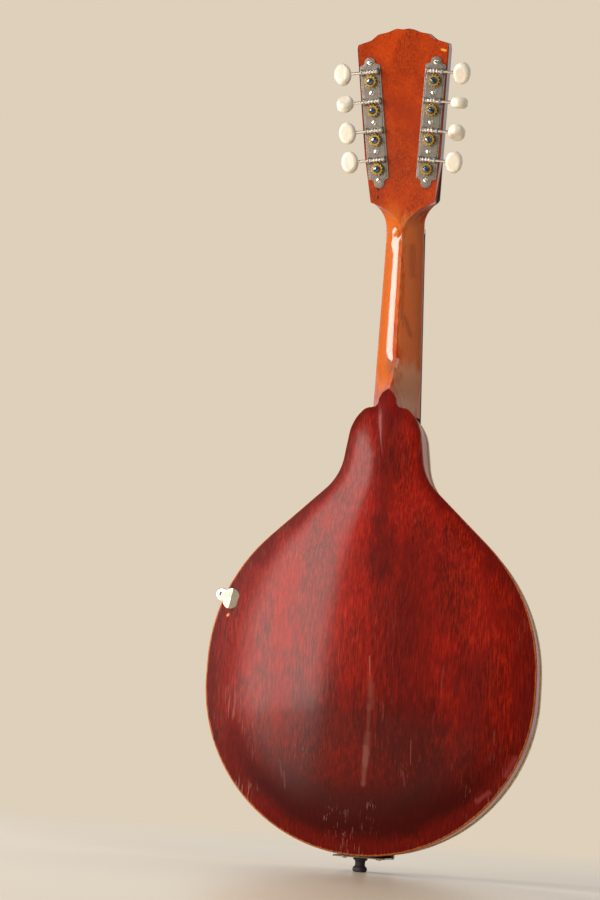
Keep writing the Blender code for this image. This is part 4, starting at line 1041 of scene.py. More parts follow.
@dataclass(frozen=True)
class Plating(Finish):
    """Plated or bare metal, clouded by age."""

    bright: Colour
    dull: Colour
    specks: Colour = (0.06, 0.05, 0.04)
    roughness: float = 0.3
    speck_share: float = 0.35
    slot_shade_share: float = 0.9

    def paint(self, graph: Graph, place: Socket) -> dict:
        """Mix bright and dull metal, darken the slots' floors with painted shade and roughen the dull part.

        Args:
            graph: Tree of the material.
            place: Socket with the piece's own coordinates.

        Returns:
            What the shader's inputs get.
        """
        worn = graph.group(tarnish_group(), {"Vector": place})
        cloud, specks = worn.outputs["Cloud"], worn.outputs["Specks"]
        colour = graph.mix(cloud, self.bright, self.dull)
        colour = graph.mix(graph.times(specks, self.speck_share), colour, self.specks)
        # Painted shade: the slots' floors are darkened to the specks' colour.
        colour = graph.mix(graph.times(graph.attribute("slot_shade"), self.slot_shade_share), colour, self.specks)
        return {"Base Color": colour, "Metallic": 1.0, "Normal": graph.bump(specks, 0.05, 0.00002),
                "Roughness": graph.fade(cloud, 0.0, 1.0, self.roughness - 0.04, self.roughness + 0.08)}


@dataclass(frozen=True)
class Moulded(Finish):
    """Ivoroid, bone, ebony or celluloid: a dense material with soft streaks."""

    base: Colour
    streak: Colour
    stretch: Colour = (1.0, 1.0, 0.1)
    scale: float = 500.0
    share: float = 0.6
    roughness: float = 0.35
    coat: float = 0.2
    subsurface: float = 0.0
    low: float = 0.42
    high: float = 0.62

    def paint(self, graph: Graph, place: Socket) -> dict:
        """Streak the base colour along one axis.

        Args:
            graph: Tree of the material.
            place: Socket with the piece's own coordinates.

        Returns:
            What the shader's inputs get.
        """
        streaks = graph.noise(place, self.scale, 3.0, 0.55, 0.3, stretch=self.stretch)
        shape = graph.times(graph.fade(streaks, self.low, self.high), self.share)
        fine = graph.noise(place, 2600.0, 2.0)
        rough = graph.fade(fine, 0.3, 0.7, self.roughness - 0.04, self.roughness + 0.06)
        return {"Base Color": graph.mix(shape, self.base, self.streak), "Roughness": rough,
                "Normal": graph.bump(fine, 0.06, 0.00003), "Coat Weight": self.coat, "Coat Roughness": 0.12,
                "Subsurface Weight": self.subsurface, "Subsurface Scale": 0.002}


class Looks:
    """All finishes of the instrument."""

    back = Varnish(
        "stained_back", Slot.MAHOGANY, dark=tone(86, 9, 4), middle=tone(134, 15, 5), light=tone(188, 44, 14),
        # Its belt is a dark band above the tail, partly stain and partly painted shade.
        edge=tone(62, 7, 5), edge_start=0.74, edge_share=0.72, stain_and_shade_belt=tone(52, 7, 4),
        worn_edge=tone(190, 104, 48), scratches=1.0, gloss=1.0, coat_roughness=0.14, coat_ior=1.27,
        marks=(
            # Broad dark clouds, the darker heel button, and a wide dark patch low on the back that is partly
            # the sunburst's stain and partly painted shade where the lower arch faces away from the lamps
            WearAndLightMark((-0.004, 0.345), (-0.005, 0.225), 0.0078, tone(66, 8, 4), 0.6, 0.95),
            # Painted shade, partly stain: the wide dark patch low on the back
            WearAndLightMark((0.030, 0.108), (-0.035, 0.092), 0.030, tone(48, 6, 4), 0.62, 0.97),
            WearAndLightMark((0.0, 0.346), (0.0, 0.358), 0.011, tone(92, 12, 14), 0.5, 0.95),
            WearAndLightMark((-0.078, 0.150), (-0.082, 0.115), 0.014, tone(84, 9, 5), 0.6, 0.9),
            WearAndLightMark((-0.026, 0.235), (-0.034, 0.110), 0.026, tone(66, 7, 4), 0.62, 0.95),
            # Scar along the middle
            WearAndLightMark((-0.0030, 0.160), (-0.0042, 0.146), 0.0005, tone(160, 90, 72), 0.6, 0.6),
            WearAndLightMark((-0.0044, 0.145), (-0.0052, 0.131), 0.0017, tone(122, 62, 50), 0.42, 0.7),
            WearAndLightMark((-0.0062, 0.138), (-0.0064, 0.122), 0.0023, tone(126, 62, 50), 0.38, 0.8),
            WearAndLightMark((-0.0054, 0.123), (-0.0052, 0.104), 0.0012, tone(124, 60, 48), 0.42, 0.7),
            WearAndLightMark((-0.0054, 0.102), (-0.0046, 0.080), 0.0021, tone(132, 74, 62), 0.42, 0.7),
            WearAndLightMark((-0.0044, 0.092), (-0.0036, 0.065), 0.0017, tone(138, 82, 70), 0.42, 0.6),
            # Small scratches, and nicks at the edge
            WearAndLightMark((-0.0380, 0.100), (-0.0385, 0.082), 0.0003, tone(150, 84, 68), 0.45, 0.9),
            WearAndLightMark((-0.0330, 0.076), (-0.0350, 0.066), 0.0007, tone(120, 66, 58), 0.35, 0.95),
            WearAndLightMark((0.0620, 0.078), (0.0600, 0.066), 0.0004, tone(128, 84, 84), 0.3, 0.9),
            WearAndLightMark((0.0585, 0.070), (0.0570, 0.058), 0.0005, tone(128, 84, 84), 0.3, 0.9),
            WearAndLightMark((-0.1150, 0.092), (-0.1090, 0.079), 0.0022, tone(150, 62, 62), 0.4, 0.8),
            WearAndLightMark((-0.0970, 0.066), (-0.0890, 0.059), 0.0017, tone(152, 70, 66), 0.4, 0.8),
            WearAndLightMark((0.1150, 0.096), (0.1160, 0.091), 0.0014, tone(60, 14, 12), 0.7),
            WearAndLightMark((0.1136, 0.1872), (0.1139, 0.1862), 0.0010, tone(226, 150, 96), 0.9)))
    rim = Varnish("stained_rim", Slot.MAHOGANY, dark=tone(104, 22, 8), middle=tone(146, 44, 14),
                  light=tone(198, 94, 42))
    neck = Varnish(
        "neck_varnish", Slot.NECK, dark=tone(130, 34, 2), middle=tone(168, 52, 2), light=tone(206, 80, 8),
        grain=75.0, gloss=0.9, coat_roughness=0.07, coat_ior=1.35,
        marks=(
            # Dents, cracks and a chip on the head
            WearAndLightMark((0.0201, 0.5357), (0.0199, 0.5352), 0.0008, tone(60, 20, 8), 0.9),
            WearAndLightMark((0.0200, 0.5297), (0.0202, 0.5291), 0.0008, tone(60, 20, 8), 0.9),
            WearAndLightMark((-0.0215, 0.5345), (-0.0165, 0.5362), 0.0003, tone(70, 24, 8), 0.8),
            WearAndLightMark((-0.0340, 0.6370), (-0.0310, 0.6378), 0.0008, tone(236, 160, 60), 0.9),
            WearAndLightMark((0.0040, 0.600), (-0.0180, 0.575), 0.0085, tone(132, 32, 2), 0.45, 0.9),
            # Painted light and shade on the neck's flanks: a paler orange treble flank where the key lamp
            # falls and a browner bass flank in its shade; then brown wear, a crack, a smudge and a pale patch
            # low on the bass flank
            WearAndLightMark((0.0115, 0.385), (0.0095, 0.512), 0.0100, tone(196, 106, 22), 0.55, 0.6),
            WearAndLightMark((-0.0120, 0.368), (-0.0095, 0.508), 0.0098, tone(182, 102, 54), 0.72, 0.4),
            WearAndLightMark((-0.0080, 0.4935), (-0.0095, 0.4700), 0.0022, tone(96, 44, 22), 0.32, 0.98),
            WearAndLightMark((-0.0055, 0.4347), (-0.0100, 0.421), 0.0013, tone(96, 44, 22), 0.40, 0.98),
            WearAndLightMark((-0.0024, 0.4676), (-0.0030, 0.433), 0.0008, tone(96, 44, 22), 0.40, 0.98),
            WearAndLightMark((0.0060, 0.4738), (0.0005, 0.4800), 0.00025, tone(80, 50, 40), 0.7),
            WearAndLightMark((0.0045, 0.400), (0.0025, 0.390), 0.0035, tone(120, 76, 60), 0.55, 0.8),
            WearAndLightMark((-0.0125, 0.362), (-0.0120, 0.388), 0.0090, tone(190, 150, 122), 0.5, 0.9),
            # Darker long edges of the head
            WearAndLightMark((0.0283, 0.5275), (0.0369, 0.6430), 0.0007, tone(92, 22, 4), 0.8),
            WearAndLightMark((-0.0283, 0.5275), (-0.0369, 0.6430), 0.0007, tone(92, 22, 4), 0.8)))
    top = Varnish("amber_top", Slot.SPRUCE, dark=tone(174, 98, 34), middle=tone(192, 114, 42),
                  light=tone(212, 144, 66), edge=tone(96, 34, 12), grain=120.0, pore_depth=0.1,
                  edge_start=0.60, edge_wave=0.06)
    inside = PlainWood("bare_wood", Slot.PLAIN_WOOD, tone(170, 138, 98), tone(206, 176, 132))
    binding = Moulded("ivoroid_binding", Slot.IVOROID, tone(232, 214, 172), tone(206, 180, 130),
                      stretch=(1.0, 1.0, 1.0), scale=160.0)
    buttons = Moulded("ivoroid_buttons", Slot.IVOROID, tone(226, 220, 206), tone(216, 200, 172),
                      stretch=(1.0, 1.0, 0.12), scale=420.0, share=0.45, subsurface=0.08)
    bone = Moulded("bone_nut", Slot.BONE, tone(232, 222, 196), tone(206, 190, 150))
    ebony = Moulded("ebony", Slot.EBONY, tone(32, 27, 25), tone(58, 44, 36), stretch=(1.0, 1.0, 0.05),
                    scale=700.0, roughness=0.42, coat=0.1)
    veneer = Moulded("black_veneer", Slot.EBONY, tone(24, 20, 19), tone(42, 32, 28), roughness=0.25, coat=0.6)
    pearl = Moulded("pearl_dots", Slot.BONE, tone(222, 224, 214), tone(178, 196, 190),
                    stretch=(1.0, 1.0, 1.0), scale=340.0, roughness=0.22, coat=0.6)
    guard = Moulded("tortoise_guard", Slot.GUARD, tone(92, 30, 12), tone(30, 9, 6), stretch=(1.0, 1.0, 0.55),
                    scale=75.0, share=0.95, roughness=0.18, coat=0.8, low=0.44, high=0.54)
    pad = Plating("pad_nickel", Slot.NICKEL, tone(214, 204, 184), tone(184, 174, 152), roughness=0.42)
    nickel = Plating("aged_nickel", Slot.NICKEL, tone(150, 146, 142), tone(126, 122, 118), speck_share=0.10)
    bright = Plating("bright_nickel", Slot.NICKEL, tone(248, 244, 236), tone(214, 206, 194), roughness=0.27,
                     speck_share=0.10)
    smooth = Plating("cover_nickel", Slot.NICKEL, tone(214, 208, 198), tone(200, 192, 182), roughness=0.26,
                     speck_share=0.06)
    brass = Plating("aged_brass", Slot.BRASS, tone(206, 172, 84), tone(150, 116, 44), roughness=0.28,
                    speck_share=0.5)
    blued = Plating("blued_screw", Slot.BRASS, tone(112, 134, 164), tone(62, 78, 106),
                    specks=(0.01, 0.01, 0.015), roughness=0.20, speck_share=0.1)
    steel = Plating("plain_string", Slot.STEEL, tone(206, 206, 204), tone(170, 168, 162), roughness=0.22,
                    speck_share=0.1)
    wound = Plating("wound_string", Slot.STEEL, tone(206, 164, 110), tone(164, 122, 74))


# Body

@dataclass
class BodyForm:
    """Outline and arches of the body, with the sizes of the CAD model."""

    bottom: float = 0.012
    lower_radius: float = 0.1278
    side_straight: float = 0.0120
    upper_radius: float = 0.1367
    upper_sweep: float = 46.5
    end_half_width: float = 0.01243
    waist: Flat = (0.0430, -38.5)
    throat: float = 0.0192
    corner: Flat = (0.0340, 37.0)
    end_radius: float = 0.0093
    least_radius: float = 0.0004
    edge_y: float = 0.0212
    plate: float = 0.0040
    top_arch: float = 0.0142
    back_arch: float = 0.0145
    arch_inset: float = 0.0019
    arch_power: float = 1.5
    spine: Flat = (0.128, 0.300)
    arch_high: float = 0.150
    neck_share: float = 0.15
    button_half: float = 0.0073
    button_length: float = 0.0156
    finer: int = 3
    top: float = field(init=False, default=0.0)

    def __post_init__(self) -> None:
        """Work out the height of the body's upper edge."""
        self.top = self.half()[-1][1]

    def late_runs(self) -> list[tuple[str, float, float, int]]:
        """Runs of the outline above the shoulder.

        Returns:
            The runs in their order.
        """
        last = 90.0 - self.upper_sweep - self.waist[1] - self.corner[1]
        return [("arc", *self.waist, 4), ("line", self.throat, 0.0, 1), ("arc", *self.corner, 3),
                ("arc", self.end_radius, last, 3)]

    def shoulder(self) -> float:
        """Length of the shoulder's straight run.

        Returns:
            The length in metres.
        """
        heading = math.radians(90.0 + self.upper_sweep)
        x = self.lower_radius - self.upper_radius * (1.0 - math.cos(math.radians(self.upper_sweep)))
        walk = heading
        for kind, size, sweep, _ in self.late_runs():
            if kind == "line":
                x += size * math.cos(walk)
                continue
            side = 1.0 if sweep > 0 else -1.0
            new = walk + math.radians(sweep)
            x += side * size * (math.sin(new) - math.sin(walk))
            walk = new
        return (self.end_half_width - x) / math.cos(heading)

    def half(self, inset: float = 0.0) -> list[Flat]:
        """Right half of the outline.

        Args:
            inset: Distance that the outline is drawn in.

        Returns:
            Points from the tail to the neck.
        """
        runs = [("arc", self.lower_radius, 90.0, 12), ("line", self.side_straight, 0.0, 1),
                ("arc", self.upper_radius, self.upper_sweep, 6), ("line", self.shoulder(), 0.0, 3)]
        x, z, heading = 0.0, self.bottom + inset, 0.0
        points = [(x, z)]
        for kind, size, sweep, count in runs + self.late_runs():
            steps = count * self.finer
            if kind == "line":
                for _ in range(steps):
                    x += size / steps * math.cos(heading)
                    z += size / steps * math.sin(heading)
                    points.append((x, z))
                continue
            side = 1.0 if sweep > 0 else -1.0
            radius = max(self.least_radius, size - side * inset)
            centre = (x - side * radius * math.sin(heading), z + side * radius * math.cos(heading))
            for _ in range(steps):
                heading += math.radians(sweep) / steps
                x = centre[0] + side * radius * math.sin(heading)
                z = centre[1] - side * radius * math.cos(heading)
                points.append((x, z))
        points.append((0.0, z))
        return points

    def spine_point(self, z: float) -> float:
        """Nearest height on the arch's middle line."""
        return min(max(z, self.bottom + self.spine[0]), self.bottom + self.spine[1])

    def arch(self, share: float, z: float) -> float:
        """Height of the arch as a share of its full height.

        Args:
            share: Place across, as a share of the half width.
            z: Place along the body.

        Returns:
            The share, from 0 at the edge to 1.
        """
        run = (z - self.bottom - self.arch_high) / (self.top - self.bottom - self.arch_high)
        fall = (1.0 - math.cos(math.pi * min(max(run, 0.0), 1.0))) / 2
        return max(0.0, 1.0 - share * share) ** self.arch_power * (1.0 - (1.0 - self.neck_share) * fall)

    def top_y(self, x: float, z: float) -> float:
        """Outer face of the soundboard at a place.

        Args:
            x: Place across the body.
            z: Place along the body.

        Returns:
            The face's Y.
        """
        half, least_turn = self.half(self.arch_inset), 1e-9
        centre = self.spine_point(z)
        direction, reach = math.atan2(abs(x), z - centre), math.hypot(x, z - centre)
        share = 0.0
        for (x0, z0), (x1, z1) in zip(half, half[1:]):
            low, high = math.atan2(x1, z1 - centre), math.atan2(x0, z0 - centre)
            if reach > MERGE and low <= direction <= high and high - low > least_turn:
                dx, dz = math.sin(direction), math.cos(direction)
                edge = (x0 * (z1 - z0) - (z0 - centre) * (x1 - x0)) / (dx * (z1 - z0) - dz * (x1 - x0))
                share = min(1.0, reach / edge)
                break
        return -(self.edge_y + self.top_arch * self.arch(share, z))


@dataclass
class BodyPieces:
    """Carved plates, rim, binding and the linings and blocks inside."""

    form: BodyForm
    overhang: float = 0.0008
    rim_thickness: float = 0.0024
    rim_edge: float = 0.0001
    binding_width: float = 0.0016
    binding_edge: float = 0.0005
    hole_height: float = 0.215
    hole_half: Flat = (0.025, 0.018)
    hole_ring: float = 0.0014
    hole_sides: int = 64
    edge_round: float = 0.0011
    edge_turns: tuple[float, ...] = (0.0, 22.5, 45.0, 67.5, 90.0)
    least_reach: float = 0.004
    inner_shares: tuple[float, ...] = (0.0, 0.2, 0.4, 0.6, 0.76, 0.9, 1.0)
    shares: tuple[float, ...] = (0.985, 0.96, 0.93, 0.89, 0.85, 0.80, 0.74, 0.68, 0.61, 0.54, 0.46, 0.38,
                                 0.30, 0.22, 0.15, 0.08, 0.0)

    def plate(self, name: str, edge: Sequence[Flat], arch: float, side: float) -> Piece:
        """Loft a carved plate over its outline.

        Args:
            name: Name of the piece.
            edge: Outline of the plate.
            arch: Height of its arch.
            side: -1 for the soundboard and 1 for the back.

        Returns:
            The plate, whose attribute "across" says how far a point lies from the middle to the edge.
        """
        form = self.form

        def ring(share: float, depth: float, inset: float = 0.0) -> list[Vector]:
            """Section of the plate at a share of its half width.

            Args:
                share: Place as a share of the half width, with 1 at the edge.
                depth: Depth below the outer face.
                inset: Distance that the ring is drawn in.

            Returns:
                The ring's points.
            """
            points = []
            for x, z in edge:
                centre = form.spine_point(z)
                reach = max(self.least_reach, math.hypot(x, z - centre))
                here = share * (1.0 - inset / reach)
                level = centre + here * (z - centre)
                y = side * (form.edge_y + arch * form.arch(here, level) - depth)
                points.append(Vector((here * x, y, level)))
            return points

        inner = [ring(share, form.plate) for share in self.inner_shares]
        size = self.edge_round
        turns = [math.radians(angle) for angle in self.edge_turns]
        rim = [ring(1.0, size * (1 - math.sin(a)), size * (1 - math.cos(a))) for a in turns]
        outer = [ring(share, 0.0) for share in self.shares]
        item = loft(name, inner + rim + outer, capped=False)
        shares = [1.0] * (len(inner) + len(rim)) + list(self.shares)
        sections = item.data.attributes["ring"].data
        return with_values(item, "across", [shares[min(entry.value, len(shares) - 1)] for entry in sections])

    def back_edge(self) -> list[Flat]:
        """Outline of the back with the heel button at its top.

        Returns:
            The outline's points as (x, z).
        """
        form = self.form
        half, top, wide, long = form.half()[:-1], form.top, form.button_half, form.button_length
        start = [(wide + 0.0020, top + 0.0008), (wide, top + 0.0032), (wide * 0.93, top + long * 0.48),
                 (wide * 0.60, top + long * 0.78), (0.0, top + long)]
        for before, after in zip(start, start[1:]):
            for share in (0.0, 1 / 3, 2 / 3):
                half.append((before[0] + (after[0] - before[0]) * share,
                             before[1] + (after[1] - before[1]) * share))
        return mirrored(half + [start[-1]])

    def band(self, name: str, insets: Flat, levels: Flat, soft: float) -> Piece:
        """Ring along the outline with its outer front corner taken off.

        Args:
            name: Name of the piece.
            insets: Distances of its outer and inner face from the outline.
            levels: Places of its front and back face.
            soft: Size of the corner.

        Returns:
            The ring.
        """
        (outer, inner), (low, high) = insets, levels
        first, near, last = (mirrored(self.form.half(inset)) for inset in (outer, outer + soft, inner))
        return loft(name, [tube_ring(points, y) for points, y in (
            (last, high), (last, low), (near, low), (first, low + soft), (first, high), (last, high))],
            capped=False)

    def build(self) -> None:
        """Model the body."""
        form = self.form
        back = self.plate("carved_back", self.back_edge(), form.back_arch, 1.0)
        deliver(back, Looks.back, nodes=["back_plate"])
        edge = mirrored(form.half(self.binding_width + GAP))
        board = self.plate("carved_soundboard", edge, form.top_arch, -1.0)
        centre = (0.0, form.bottom + self.hole_height)
        hole = slab("hole", ellipse(*self.hole_half, self.hole_sides, centre), -0.05, 0.0)
        deliver(cut(board, [hole]), Looks.top, nodes=["soundboard"])
        inner_y = form.edge_y - form.plate - GAP
        rim = self.band("bent_rim", (self.overhang, self.overhang + self.rim_thickness), (-inner_y, inner_y),
                        self.rim_edge)
        deliver(rim, Looks.rim, nodes=["rim"])
        levels = (-form.edge_y, -form.edge_y + form.plate)
        binding = self.band("edge_binding", (0.0, self.binding_width), levels, self.binding_edge)
        deliver(binding, Looks.binding, nodes=["top_binding"])
        self.hole_edge(centre)
        for name in ("head_block", "tail_block", "top_lining", "back_lining", "tone_bar"):
            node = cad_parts[name]
            node.data.materials.clear()
            node.data.materials.append(Looks.inside.material())

    def hole_edge(self, centre: Flat) -> None:
        """Ring that is let into the sound hole's edge.

        Args:
            centre: Middle of the sound hole as (x, z).
        """
        form = self.form
        wide, tall = self.hole_half
        outer, inner = (ellipse(wide - inset, tall - inset, self.hole_sides, centre)
                        for inset in (GAP, self.hole_ring))
        levels = [form.top_y(x, z) for x, z in outer]
        rings = []
        section = ((outer, 0.0), (outer, form.plate), (inner, form.plate), (inner, EDGE), (outer, 0.0))
        for edge, depth in section:
            rings.append([Vector((x, level + depth, z)) for (x, z), level in zip(edge, levels)])
        deliver(loft("hole_ring", rings, capped=False), Looks.binding, nodes=["sound_hole_ring"])


# Neck and head

@dataclass
class NeckForm:
    """Places and sections of the neck and the head, with the sizes of the CAD model."""

    body: BodyForm
    scale: float = 0.3524
    joint_fret: int = 10
    neck_set: float = 5.53
    setback: float = 0.0028
    lift: float = 0.0006
    nut_half: float = 0.0155
    nut_length: float = 0.0043
    nut_break: float = 0.3        # where the strings leave the nut, as a share of its length
    joint_half: float = 0.0195
    ridge_nut: float = 0.0142
    ridge_joint: float = 0.0165
    heel_rise: float = 0.039
    heel_length: float = 0.052
    head_angle: float = 14.7
    head_thickness: float = 0.0153
    veneer: float = 0.0020
    veneer_start: float = 0.0054
    low_corner: Flat = (0.0282, 0.0265)
    top_corner: Flat = (0.0368, 0.1460)
    flare_corner: Flat = (0.0006, 0.0016)   # how far the front's curve ends before the low corner
    flare_turn: float = 60.0
    arch_tip: float = -0.0010
    arch_corner: Flat = (0.0009, 0.0010)
    arch_turn: float = 65.0
    crest: tuple[Flat, ...] = ((0.0364, 0.0040), (0.0257, 0.0073), (0.0200, 0.0119), (0.0121, 0.0135),
                               (0.0054, 0.0162), (0.0, 0.0155))
    crest_round: float = 0.0011

    @property
    def length(self) -> float:
        """Length of the neck from the body joint to the nut."""
        return self.scale * (1 - 2 ** (-self.joint_fret / 12))

    def fret_place(self, fret: int) -> float:
        """Distance of a fret from the body joint."""
        return self.length - self.scale * (1 - 2 ** (-fret / 12))

    def neck_frame(self) -> Matrix:
        """Frame on the fingerboard's underside at the body joint."""
        place = shift(0.0, -self.body.edge_y - self.lift, self.body.top - self.setback)
        return place @ turned(-self.neck_set, "X")

    def head_frame(self) -> Matrix:
        """Frame on the veneer's front face at the nut."""
        return self.neck_frame() @ (shift(0.0, 0.0, self.length) @ turned(-self.head_angle, "X"))

    def half_width(self, along: float) -> float:
        """Half width of the neck at a distance from the body joint."""
        return self.joint_half + (self.nut_half - self.joint_half) * along / self.length

    @staticmethod
    def eased(along: float, start: float, end: float, angle: float) -> float:
        """How far a curve that starts straight has opened, from 0 at its start to 1 at its end.

        Args:
            along: Place on the curve's axis.
            start: Where it starts.
            end: Where it ends.
            angle: How far round its arc goes.

        Returns:
            The opened share.
        """
        share = min(1.0, max(0.0, (along - start) / (end - start)))
        turn = math.radians(angle)
        return (1 - math.cos(math.asin(share * math.sin(turn)))) / (1 - math.cos(turn))

    def flare(self, along: float) -> float:
        """Half width of the head's front at a height above the nut.

        Args:
            along: Height above the nut.

        Returns:
            The half width in metres.
        """
        corner_x, corner_z = self.low_corner
        if along >= corner_z:
            share = (along - corner_z) / (self.top_corner[1] - corner_z)
            return corner_x + (self.top_corner[0] - corner_x) * share
        open_share = self.eased(along, self.veneer_start, corner_z - self.flare_corner[1], self.flare_turn)
        return self.nut_half + (corner_x - self.flare_corner[0] - self.nut_half) * open_share

    def arch(self, along: float) -> float:
        """Half width of the head's flat back face at a height above the nut.

        Args:
            along: Height above the nut.

        Returns:
            The half width in metres.
        """
        corner_x, corner_z = self.low_corner
        if along >= corner_z:
            return self.flare(along)
        open_share = self.eased(along, self.arch_tip, corner_z - self.arch_corner[1], self.arch_turn)
        return (corner_x - self.arch_corner[0]) * open_share


@dataclass
class NeckPieces:
    """Neck and head, veneer, fingerboard with frets and dots, and nut."""

    form: NeckForm
    side_points: int = 12
    back_points: int = 7
    ridge_round: float = 0.0010
    section_power: Flat = (1.7, 0.65)      # of the neck, and what the heel takes from it
    heel_power_rise: float = 1.4
    even_points: float = 0.55              # share of a section's points that lie at even depths
    head_bulge: Flat = (0.0030, 0.0010)
    nut_margin: float = 0.011              # from the neck's last section to the nut
    crest_margin: float = 0.004
    crest_reach: float = 0.020
    crest_drop: float = 0.0005
    board_thickness: float = 0.0050
    board_edge: float = 0.0004
    board_end: float = 0.004
    frets: int = 20
    fret_inset: Flat = (0.0002, 0.0008)    # of a fret's end, and of its full height
    fret_end: float = 0.3
    fret_crown: tuple[Flat, ...] = ((0.00095, 0.0001), (0.00095, 0.0), (0.00085, -0.00045),
                                    (0.00055, -0.00085), (0.0, -0.0010), (-0.00055, -0.00085),
                                    (-0.00085, -0.00045), (-0.00095, 0.0), (-0.00095, 0.0001))
    dot_frets: tuple[int, ...] = (5, 7, 10, 12, 15)
    dot: Flat = (0.0026, 0.00012)
    nut_rise: float = 0.0004               # over the strings' centres
    nut_corner: float = 0.0013
    nut_slope: float = 0.0014

    def neck_section(self, height: float) -> list[Vector]:
        """Level section of the neck at a height, as soft V with a rounded ridge.

        Args:
            height: Height of the section in the model's frame.

        Returns:
            The section's points.
        """
        form = self.form
        along = (height - form.body.top + form.setback) / math.cos(math.radians(form.neck_set))
        front = (form.neck_frame() @ Vector((0.0, 0.0, along))).y + GAP
        width = form.half_width(along)
        ridge = form.ridge_joint + (form.ridge_nut - form.ridge_joint) * along / form.length
        heel = max(0.0, 1.0 - (height - form.body.top) / form.heel_length)
        depth = ridge + form.heel_rise * heel ** 2
        power = self.section_power[0] - self.section_power[1] * min(1.0, heel * self.heel_power_rise)
        limit = form.body.edge_y - form.body.plate - GAP
        return [Vector((x, min(limit, front + y), height)) for x, y in self.soft_v(width, depth, power)]

    def soft_v(self, width: float, depth: float, power: float) -> list[Flat]:
        """Half widths and depths of a V section, from one front corner round to the other.

        Args:
            width: Half width at the front.
            depth: Depth at the ridge.
            power: How full the sides are.

        Returns:
            As many points as every section of the neck and head has.
        """
        soft, even = self.ridge_round, self.even_points
        full = math.hypot(width, soft) - soft
        count = self.side_points + self.back_points // 2
        right = []
        for index in range(count):
            level = 0.5 - 0.5 * math.cos(math.pi * index / count) if index else 0.0
            level = (1 - even) * level + even * index / count
            share = 1.0 - level ** power
            right.append((math.sqrt((share * full + soft) ** 2 - soft ** 2), depth * level))
        return right + [(0.0, depth)] + [(-x, y) for x, y in reversed(right)]

    def head_section(self, along: float) -> list[Vector]:
        """Section of the head at a height above the nut, across the head's own axis.

        Args:
            along: Height above the nut.

        Returns:
            The section's points.
        """
        form = self.form
        place, back_y = form.head_frame(), form.head_thickness
        front_y = form.veneer + GAP
        wide, face = form.flare(along), form.arch(along)
        share = min(1.0, max(0.0, along / form.low_corner[1]))
        bulge = self.head_bulge[0] * (1.0 - share) ** 2 - self.head_bulge[1] * math.sin(math.pi * share)
        right = []
        for level in spread(0.0, 1.0, self.side_points - 1):
            swell = math.sin(math.pi * level)
            y = front_y + (back_y - front_y) * level + bulge * 0.5 * swell
            right.append((wide + (face - wide) * level + bulge * swell, min(y, back_y)))
        half = self.back_points // 2 + 1
        right += [(face * (1 - step / half), back_y) for step in range(1, half)]
        whole = right + [(0.0, back_y)] + [(-x, y) for x, y in reversed(right)]
        return [place @ Vector((x, y, along)) for x, y in whole]

    def crest_points(self, start: Sequence[Flat]) -> list[Flat]:
        """Crest as a rounded path from given points to the middle line.

        Args:
            start: Points that the path starts with.

        Returns:
            The path's points.
        """
        corner = self.form.top_corner
        points = [*start, corner] + [(x, corner[1] + rise) for x, rise in self.form.crest]
        return rounded_path(points, self.form.crest_round, 3)

    def crest_outline(self) -> list[Flat]:
        """Front outline of the head, whose upper end is the crest.

        Returns:
            The outline's points.
        """
        form, margin = self.form, self.crest_margin
        half = [(0.0, -margin)] + [(form.flare(a) + margin, a) for a in (-margin, 0.020, 0.13)]
        corner = form.top_corner
        crest = self.crest_points([(corner[0] + margin, corner[1] - OVERSHOOT)])
        return mirrored(half + [(x, a - self.crest_drop) for x, a in crest])

    def carve(self) -> Piece:
        """Neck and head as one loft, cut to the crest.

        Returns:
            The neck's object.
        """
        form, margin = self.form, self.crest_margin
        heel_top = form.body.top + form.heel_length
        nut_z = (form.neck_frame() @ Vector((0.0, 0.0, form.length))).z
        heights = spread(form.body.top + GAP, heel_top, 14)[:-1]
        heights += spread(heel_top, nut_z - self.nut_margin, 10)
        rings = [self.neck_section(height) for height in heights]
        low = form.low_corner[1]
        places = spread(0.0, low, 14) + spread(low, form.top_corner[1] + self.crest_reach, 16)[1:]
        rings += [self.head_section(along) for along in places]
        item = loft("neck_and_head", rings)
        crest = slab("crest", self.crest_outline(), -margin, form.head_thickness + margin)
        wide, far, seam = 0.06, -0.30, -0.0039
        below = slab("below", corners((-wide, far), (wide, seam)), -wide, 0.09)
        tool = placed(crest, form.head_frame())
        cut(tool, [placed(below, form.head_frame())], "UNION")
        return cut(item, [tool], "INTERSECT")

    def build(self) -> None:
        """Model the neck's pieces."""
        deliver(self.carve(), Looks.neck, nodes=["neck"])
        self.face()
        self.fingerboard()
        self.nut()

    def face(self) -> None:
        """Veneer on the head's front."""
        form = self.form
        rows = spread(form.veneer_start, form.low_corner[1], 10)
        half = [(0.0, rows[0])] + [(form.flare(a), a) for a in rows]
        outline = mirrored(half + self.crest_points([half[-1]])[1:])
        item = placed(bevelled(slab("head_veneer", outline, 0.0, form.veneer)), form.head_frame())
        deliver(item, Looks.veneer, nodes=["headstock_veneer"])

